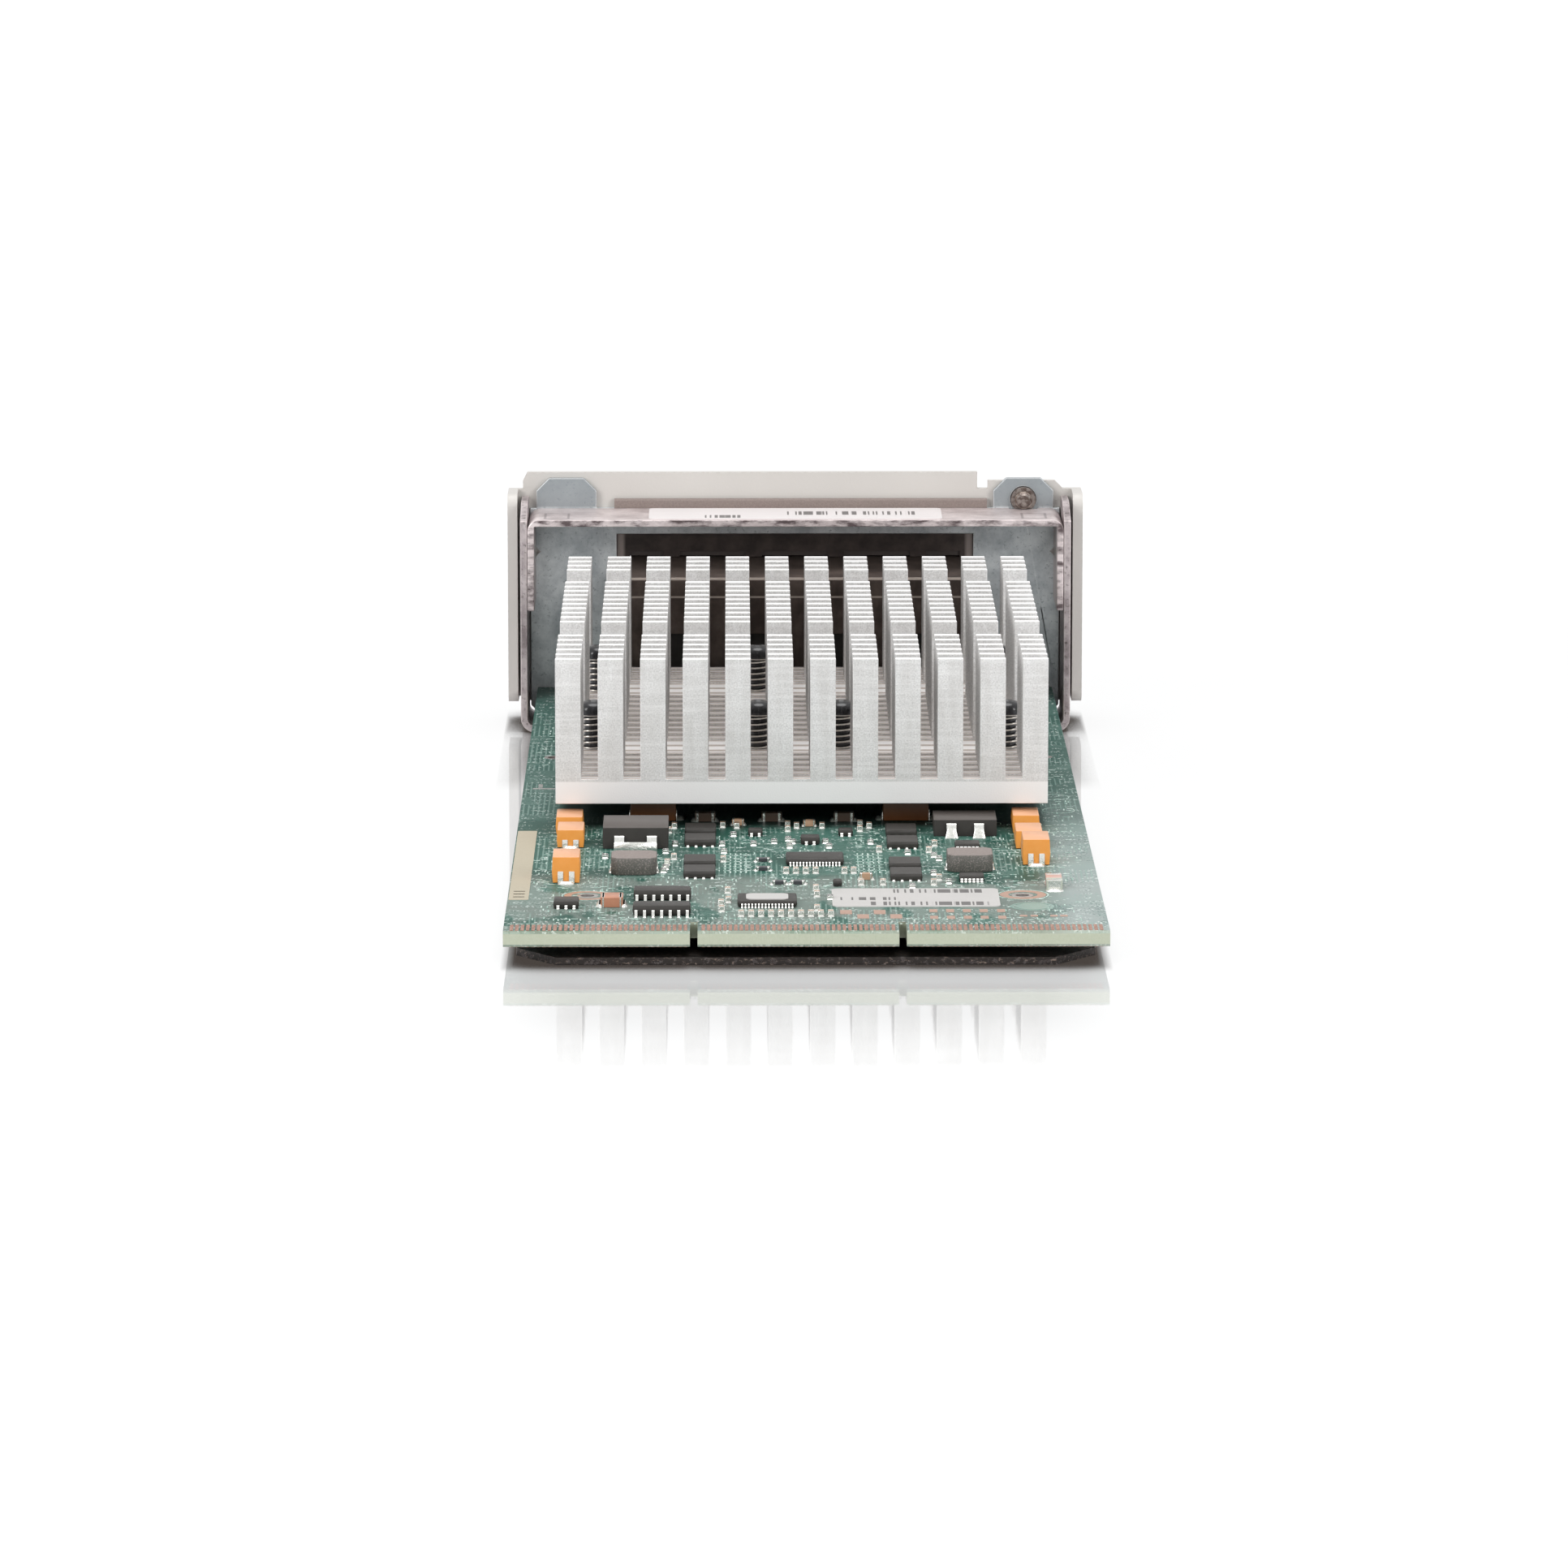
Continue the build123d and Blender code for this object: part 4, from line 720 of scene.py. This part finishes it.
# Other small packages: moulded transistors and regulators with a few short leads, a small chip by
# the right choke, and a pale ceramic fuse at the right with a coloured stripe.
small_bodies = [((-35.7, 19.3), (1.9, 2.0), 1.2), ((25.5, 67.0), (1.95, 1.7), 1.0),
                ((25.4, 40.0), (1.9, 1.5), 1.0), ((-7.3, 78.2), (1.15, 1.1), 1.1),
                ((1.2, 71.4), (1.5, 1.5), 1.2), ((6.8, 78.2), (1.15, 1.1), 1.1),
                ((5.0, 36.0), (0.7, 1.1), 0.9)]
body_forms = [(set_at(package_form(half, 0.1, high, 0.1), place), 0) for place, half, high in small_bodies]
small_lead = lead_form(0.95, 0.5, 0.4, 0.16, 0.45)
small_spots = [(x + offset, d + side * (half[1] - 0.05), side) for (x, d), half, _ in small_bodies[:1]
               for side, offsets in ((-1, (-1.2, 0.0, 1.2)), (1, (-1.2, 1.2))) for offset in offsets]
small_spots += [(x + offset, d - half[1] + 0.05, -1) for (x, d), half, _ in small_bodies[1:3]
                for offset in np.linspace(-1.5, 1.5, 6)]
small_spots += [(x + offset, d + side * (half[1] - 0.05), side) for (x, d), half, _ in small_bodies[3:6]
                for side, offsets in ((-1, (-0.6, 0.6)), (1, (0.0,))) for offset in offsets]
body_forms += [(set_at(small_lead, [(x, d) for x, d, _ in small_spots],
                       [0.0 if side < 0 else 180.0 for _, _, side in small_spots]), 1)]
make_piece("small_packages", body_forms, [epoxy, tin], replaces=("small_chips",))

fuse_glass, tree, shader, point = finish("fuse_body", 0.35)
stripe = band(tree, split(tree, point)[1], edge_mm + 33.9, edge_mm + 34.4)
paint(tree, shader, blend_colour(tree, stripe, "#AEB5A6", "#C79C8E"))
make_piece("surface_fuse", chip_part_forms((6.4, 2.4, 1.5), [(37.7, 35.0)], 90.0), [fuse_glass, solder])


# Labels: thin film stuck to the board, a chip and the strap, whitest on the strap. It is blank but
# for plain printed bars of random width that carry no meaning.
film, tree, shader, point = finish("label_film", 0.42)
crease = grain(tree, point, 6.0, 3.0)
place_x, place_y, _ = split(tree, point)[:3]
cell = combine(tree, "FLOOR", times(tree, place_x, 3.6))
chance = add_node(tree, "TexWhiteNoise")
chance.noise_dimensions = "1D"
tree.links.new(cell, chance.inputs["W"])
bars = band(tree, chance.outputs["Value"], 0.42, 0.44)
printed = None
for left, right, near, far in ((12.9, 26.8, 29.4, 32.3), (5.3, 13.9, 23.6, 25.9), (9.8, 27.9, 19.5, 22.3),
                               (-16.6, -9.2, 209.5, 212.8), (-1.4, 20.6, 213.0, 217.2)):
    across = add_node(tree, "Math", "COMPARE", i0=place_x, i1=(left + right) / 2, i2=(right - left) / 2)
    along = add_node(tree, "Math", "COMPARE", i0=place_y, i1=edge_mm + (near + far) / 2, i2=(far - near) / 2)
    inside = times(tree, across.outputs[0], along.outputs[0])
    printed = inside if printed is None else combine(tree, "MAXIMUM", printed, inside)
board_paper = blend_colour(tree, crease, "#B4B1AE", "#BEBBB8")
strap_paper = blend_colour(tree, crease, "#D3CDCC", "#DCD6D5")
paper = blend_colour(tree, band(tree, place_y, edge_mm + 120.0, edge_mm + 130.0), board_paper, strap_paper)
paint(tree, shader, blend_colour(tree, times(tree, times(tree, printed, bars), 0.85), paper, "#2F2B2A"))
relief(tree, shader, crease, 0.03)
dress(film, "strap_label", "board_label", "chip_label")

# Heat sink: one aluminium extrusion, sawn across into rows of blades and blasted matte. Its walls are
# streaked, its blade tops carry a painted highlight, and its channel floor is painted lighter, with darker
# bands at the saw pitch, as painted light and shade.
sink_metal, tree, shader, point = finish("blasted_aluminium", 0.44, metallic=0.55)
bead = grain(tree, point, 0.25, 2.0)
streak = grain(tree, point, 1.6, 4.0, stretch=(1.0, 1.0, 0.2))
drawn = grain(tree, point, 0.5, 3.0, stretch=(0.05, 1.0, 1.0))
base = blend_colour(tree, band(tree, streak, 0.3, 0.7), "#D3D1CF", "#E4E3E2")
base = blend_colour(tree, band(tree, bead, 0.35, 0.8), base, "#B9B7B5")
base = blend_colour(tree, times(tree, band(tree, drawn, 0.45, 0.75), 0.35), base, "#F0EFEE")
upright = facing(tree, 2)
level = split(tree, point)[2]
# Painted highlight on the blade tops.
painted_blade_highlight = times(tree, band(tree, upright, 0.5, 0.9), band(tree, level, 28.0, 31.0))
base = blend_colour(tree, painted_blade_highlight, base, "#FFFDFC")
base = blend_colour(tree, band(tree, level, 13.0, 13.2, flip=True), base, "#EBE9E8")
# Painted light and shade on the channel floor: lighter overall, with darker bands at the saw pitch.
painted_channel_floor = times(tree, band(tree, upright, 0.5, 0.9), band(tree, level, 14.0, 15.0, flip=True))
saw_pitch = 4.73
cuts = combine(tree, "DIVIDE", combine(tree, "SUBTRACT", split(tree, point)[1], sink_low.y / mm), saw_pitch)
off_blade = combine(tree, "ABSOLUTE", combine(tree, "SUBTRACT", combine(tree, "FRACT", cuts), 0.5))
kerf = band(tree, off_blade, 0.30, 0.36)
base = blend_colour(tree, painted_channel_floor, base, blend_colour(tree, kerf, "#FFFCFA", "#C6B9B1"))
paint(tree, shader, base)
relief(tree, shader, bead, 0.02)
dress(sink_metal, "heat_sink")


# Push pins: glossy black nylon with a domed head, a smooth shank and a tapered barb below the board.
# Each pulls the sink down through a wound steel spring.
def nodes_of(prefix, count=7):
    """The names of the numbered nodes, from 1 to count."""
    return ["%s_%d" % (prefix, i + 1) for i in range(count)]


nylon = mottled("black_nylon", 0.2, 0.9, "#101012", "#222226", depth=0.01)
spring_metal = mottled("spring_wire", 0.28, 0.4, "#8F8982", "#D8D3CC", metallic=0.8)


def helix_form(radius, wire, bottom, height, turns, steps=26, around=8):
    """A round wire wound about the upright axis. Its end turns lie closed, so the rise eases in and out."""
    s = np.linspace(0.0, 1.0, int(turns * steps) + 1)
    dead = 0.75 / turns
    ease = np.clip((s - dead) / (1.0 - 2.0 * dead), 0.0, 1.0)
    level = bottom + wire / 2 + (height - wire) * (0.10 * s + 0.90 * ease)
    angle = 2.0 * np.pi * turns * s
    centre = np.stack([radius * np.cos(angle), radius * np.sin(angle), level], -1)
    along = np.gradient(centre, axis=0)
    along /= np.linalg.norm(along, axis=1)[:, None]
    outward = np.stack([np.cos(angle), np.sin(angle), np.zeros_like(angle)], -1)
    upward = np.cross(along, outward)
    turn = np.linspace(0.0, 2.0 * np.pi, around, endpoint=False)[None, :, None]
    rings = centre[:, None] + wire / 2 * (np.cos(turn) * outward[:, None] + np.sin(turn) * upward[:, None])
    return tube_form(rings)


head_profile = [(0.80, -3.3), (1.40, -2.75), (1.85, -2.45), (1.40, -2.44), (1.40, 13.25), (2.40, 13.25),
                (2.50, 13.4), (2.50, 13.95), (2.42, 14.3), (2.15, 14.75), (1.70, 15.05), (1.10, 15.26),
                (0.45, 15.34)]
for pin_name, spring_name in zip(nodes_of("push_pin"), nodes_of("pin_spring")):
    low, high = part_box(pin_name)
    middle = ((low.x + high.x) / 2 / mm, ((low.y + high.y) / 2 - edge_y) / mm)
    head_top = high.z / mm - top_mm
    lift = head_top - head_profile[-1][1]
    pin_profile = [(radius, level + (lift if level > 0 else 0.0)) for radius, level in head_profile]
    make_piece(pin_name + "_turned", [(set_at(lathe_form(pin_profile, 32), middle), 0)], [nylon],
               body=pin_name, replaces=(pin_name,), sharp=50.0)
    low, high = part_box(spring_name)
    seat = low.z / mm - top_mm
    tall = (high.z - low.z) / mm
    coil = helix_form(1.96, 0.31, seat, tall, 7.0)
    wound = make_piece(spring_name + "_wound", [(set_at(coil, middle), 0)], [spring_metal],
                       replaces=(spring_name,))
    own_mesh(wound)


# Tray: one sheet of cold-rolled steel, folded in a press brake and dulled by handling. Its edges are
# worn to bare metal toward the face end, and it is darker toward its front edge.
def edge_wear(tree, width, low, high):
    """How far a face near an edge turns from its own normal when the edge is rounded off."""
    rounded = add_node(tree, "Bevel", Radius=width * mm)
    rounded.samples = 4
    plain = add_node(tree, "NewGeometry").outputs["Normal"]
    alike = add_node(tree, "VectorMath", "DOT_PRODUCT", i0=rounded.outputs[0], i1=plain)
    return band(tree, alike.outputs["Value"], low, high, flip=True)


tray_metal, tree, shader, point = finish("worn_tray_steel", 0.46, metallic=0.5)
smudge = grain(tree, point, 5.0, 6.0, 0.65)
scuff = grain(tree, point, 0.9, 5.0, 0.7)
base = blend_colour(tree, band(tree, smudge, 0.38, 0.62), "#837879", "#B8AEAE")
base = blend_colour(tree, band(tree, scuff, 0.54, 0.68), base, "#4A4240")
base = blend_colour(tree, times(tree, edge_wear(tree, 0.5, 0.86, 0.99),
                                  times(tree, band(tree, scuff, 0.40, 0.55),
                                          band(tree, split(tree, point)[1], edge_mm - 10.0,
                                               edge_mm + 60.0))), base, "#D3C9C6")
# Darker toward the front edge, in patches.
darker_toward_front = band(tree, split(tree, point)[1], edge_mm + 14.0, edge_mm + 60.0, flip=True)
darkened_front = times(tree, darker_toward_front, combine(tree, "MAXIMUM", band(tree, scuff, 0.66, 0.56), 0.75))
base = blend_colour(tree, darkened_front, base, "#2A2522")
lip = band(tree, split(tree, point)[1], edge_mm + 12.0, edge_mm + 13.0, flip=True)
rubbed = grain(tree, point, 0.55, 4.0, 0.7, stretch=(0.6, 1.0, 1.0))
base = blend_colour(tree, times(tree, lip, band(tree, rubbed, 0.56, 0.72)), base, "#8A7A70")
paint(tree, shader, base)
relief(tree, shader, scuff, 0.05)
dress(tray_metal, "tray")

# Bridge strap: plated steel strip folded over the top, its plating rubbed pinkish grey, with dark
# scuffs on its front and a painted shade line tracing a stamped outline at each end of its top.
strap_metal, tree, shader, point = finish("worn_strap_steel", 0.40, metallic=0.5)
smudge = grain(tree, point, 5.0, 6.0, 0.65)
scuff = grain(tree, point, 0.7, 6.0, 0.72)
base = blend_colour(tree, band(tree, smudge, 0.35, 0.65), "#B0A4A3", "#D8CDCC")
front = facing(tree, 1)
front_face = band(tree, front, -0.9, -0.5, flip=True)
streaks = grain(tree, point, 1.3, 5.0, 0.65, stretch=(0.35, 1.0, 1.0))
rub = combine(tree, "MAXIMUM", times(tree, front_face, band(tree, streaks, 0.44, 0.62)),
              times(tree, band(tree, scuff, 0.62, 0.76), 0.6))
across = combine(tree, "ABSOLUTE", split(tree, point)[0])
# Painted shade: a dark line traces the stamped outline at each end of the top.
past_x = combine(tree, "SUBTRACT", combine(tree, "ABSOLUTE", combine(tree, "SUBTRACT", across, 41.0)), 2.0)
past_y = combine(tree, "ABSOLUTE", combine(tree, "SUBTRACT", split(tree, point)[1], edge_mm + 212.4))
outside = combine(tree, "MAXIMUM", past_x, combine(tree, "SUBTRACT", past_y, 3.2))
stamped_outline_shade = times(tree, band(tree, combine(tree, "ABSOLUTE", outside), 0.10, 0.30, flip=True), 0.5)
base = blend_colour(tree, combine(tree, "MAXIMUM", rub, stamped_outline_shade), base, "#5A4E4F")
paint(tree, shader, base)
relief(tree, shader, scuff, 0.05)
dress(strap_metal, "bridge_strap")

# Face panel: folded steel, zinc plated and passivated to a blue grey with cloudy crystals, greyer
# above the strap and bright on its worn edges.
zinc_metal, tree, shader, point = finish("zinc_plate", 0.40, metallic=0.5)
cloud = grain(tree, point, 4.0, 6.0, 0.65)
speck = grain(tree, point, 0.45, 3.0)
above_strap = band(tree, split(tree, point)[2], 36.9, 37.3)
base = blend_colour(tree, band(tree, cloud, 0.35, 0.65), "#ACB2B5", "#D6DADB")
base = blend_colour(tree, times(tree, above_strap, 0.85), base, "#8C9295")
base = blend_colour(tree, band(tree, speck, 0.60, 0.78), base, "#81898C")
base = blend_colour(tree, edge_wear(tree, 0.3, 0.86, 0.99), base, "#E4E6E6")
paint(tree, shader, base)
relief(tree, shader, cloud, 0.03)
dress(zinc_metal, "face_panel")

# Bezel: die-formed steel with a warm light grey powder coat, fine orange peel in it and rubbed
# edges. Behind the panel its inner face is dark: partly bare metal, partly painted shade.
bezel_paint, tree, shader, point = finish("bezel_paint", 0.46)
orange_peel = grain(tree, point, 0.6, 2.0)
haze = grain(tree, point, 14.0, 3.0)
base = blend_colour(tree, haze, "#BAB6B1", "#C4C0BB")
base = blend_colour(tree, times(tree, edge_wear(tree, 0.25, 0.88, 0.99),
                                  band(tree, orange_peel, 0.45, 0.6)), base, "#A9A29A")
panel_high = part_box("face_panel")[1]
where = split(tree, point)
# Partly bare metal, partly painted shade: the inner face behind the panel, round the opening, is dark.
behind = band(tree, where[1], panel_high.y / mm + 0.1, panel_high.y / mm + 0.2, flip=True)
bare_and_shaded_inner = times(tree, behind, combine(tree, "LESS_THAN", combine(tree, "ABSOLUTE", where[0]), 32.0))
bare_and_shaded_inner = times(tree, bare_and_shaded_inner, combine(tree, "LESS_THAN", where[2], 35.5))
base = blend_colour(tree, bare_and_shaded_inner, base, "#3A322E")
paint(tree, shader, base)
relief(tree, shader, orange_peel, 0.02)
dress(bezel_paint, "bezel")

# Port cage, walls and shelves: thin plated sheet, folded and tarnished brown, with a painted highlight
# line along its top edge and its seam.
cage_metal, tree, shader, point = finish("tarnished_cage", 0.42, metallic=0.5)
stain = grain(tree, point, 5.0, 5.0, 0.6)
drip = grain(tree, point, 2.0, 4.0, stretch=(1.0, 1.0, 0.25))
base = blend_colour(tree, band(tree, stain, 0.35, 0.65), "#4A3F3A", "#6A5D56")
base = blend_colour(tree, times(tree, band(tree, drip, 0.5, 0.7), 0.5), base, "#3C3431")
level = split(tree, point)[2]
cage_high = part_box("port_cage")[1]
# Painted highlight: a light line along the top edge and the seam, on the faces toward the connector end.
seam = combine(tree, "ABSOLUTE", combine(tree, "SUBTRACT", level, cage_high.z / mm - 3.35))
bright = combine(tree, "MAXIMUM", band(tree, level, cage_high.z / mm - 0.50, cage_high.z / mm - 0.36),
                 times(tree, band(tree, seam, 0.10, 0.22, flip=True), 0.6))
facing = band(tree, facing(tree, 1), -0.9, -0.6, flip=True)
base = blend_colour(tree, times(tree, bright, facing), base, "#E2D3C8")
paint(tree, shader, base)
dress(cage_metal, "port_cage", "cage_separators", "cage_shelves")

# Cage collar: spring sheet in the panel's opening, dark with tarnish but for its outer ends. The
# connectors behind the ports are moulded in black.
collar_metal, tree, shader, point = finish("tarnished_collar", 0.45, metallic=0.4)
stain = grain(tree, point, 3.0, 4.0)
ends = band(tree, combine(tree, "ABSOLUTE", split(tree, point)[0]), 29.3, 29.9)
base = blend_colour(tree, band(tree, stain, 0.35, 0.65), "#2E2623", "#473D39")
paint(tree, shader, blend_colour(tree, ends, base, "#8C817C"))
dress(collar_metal, "cage_collar")
dress(epoxy, "port_connectors")

# Gasket: a strip of conductive foam under a woven skin, stuck along the panel's top flange so that
# the face end closes without a gap.
foam = mottled("gasket_foam", 0.75, 0.3, "#6E625D", "#8D807A", depth=0.05)
dress(foam, "emi_gasket_strip")

# Plain steel hardware: turned rivets, spacers and screws, left bright. The captive screw and the
# ferrule that holds it have gone brown.
steel = mottled("plain_steel", 0.32, 0.7, "#8E8784", "#D2CDC9", detail=4.0, metallic=0.8)
dress(steel, "strap_rivets", "board_standoffs", "tray_screws")
browned = mottled("browned_screw_steel", 0.36, 0.6, "#5A4E48", "#8E857F", detail=4.0, edges=(0.4, 0.6),
                  metallic=0.6)
dress(browned, "screw_retainer", "captive_screw")

# Screw thread: one rolled ridge with a worn brown flank. It winds along the captive screw's tip
# and turns with the screw.
thread_metal = mottled("rolled_thread", 0.38, 0.5, "#5F4C42", "#A4978D", detail=4.0, edges=(0.4, 0.6),
                       metallic=0.6)
screw_low, screw_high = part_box("captive_screw")
ridge_points, ridge_corners, ridge_sizes = helix_form(1.34, 0.26, 0.35, 2.0, 4.0, around=6)
ridge = np.stack([ridge_points[:, 0] + (screw_low.x + screw_high.x) / 2 / mm,
                  ridge_points[:, 2] + (screw_low.y - edge_y) / mm,
                  -ridge_points[:, 1] + ((screw_low.z + screw_high.z) / 2 - board_top) / mm], -1)
make_piece("captive_screw_thread", [((ridge, ridge_corners, ridge_sizes), 0)], [thread_metal],
           body="captive_screw")

# Large chips under the sink: each has a nickel-plated lid. A soft grey pad on top carries
# its heat into the sink.
lid = mottled("nickel_lid", 0.35, 1.5, "#8B8B8B", "#A5A5A5", metallic=0.9)
dress(lid, "switch_chip_left", "switch_chip_right")
pad = mottled("soft_pad", 0.7, 1.0, "#8C8C93", "#A2A2A8")
dress(pad, "thermal_pads")

# Broken edges: the folded sheets and the cut aluminium have every sharp edge taken off, as tumbling
# does, by two small facets along each.
for name, width in (("tray", 0.15), ("bridge_strap", 0.15), ("face_panel", 0.12), ("bezel", 0.2),
                    ("heat_sink", 0.09), ("port_cage", 0.06)):
    weld = nodes[name].modifiers.new("closed_corners", "WELD")
    weld.merge_threshold = 1e-6
    bevel = nodes[name].modifiers.new("broken_edges", "BEVEL")
    bevel.width = width * mm
    bevel.segments = 2
    bevel.limit_method = "ANGLE"
    bevel.angle_limit = math.radians(35.0)
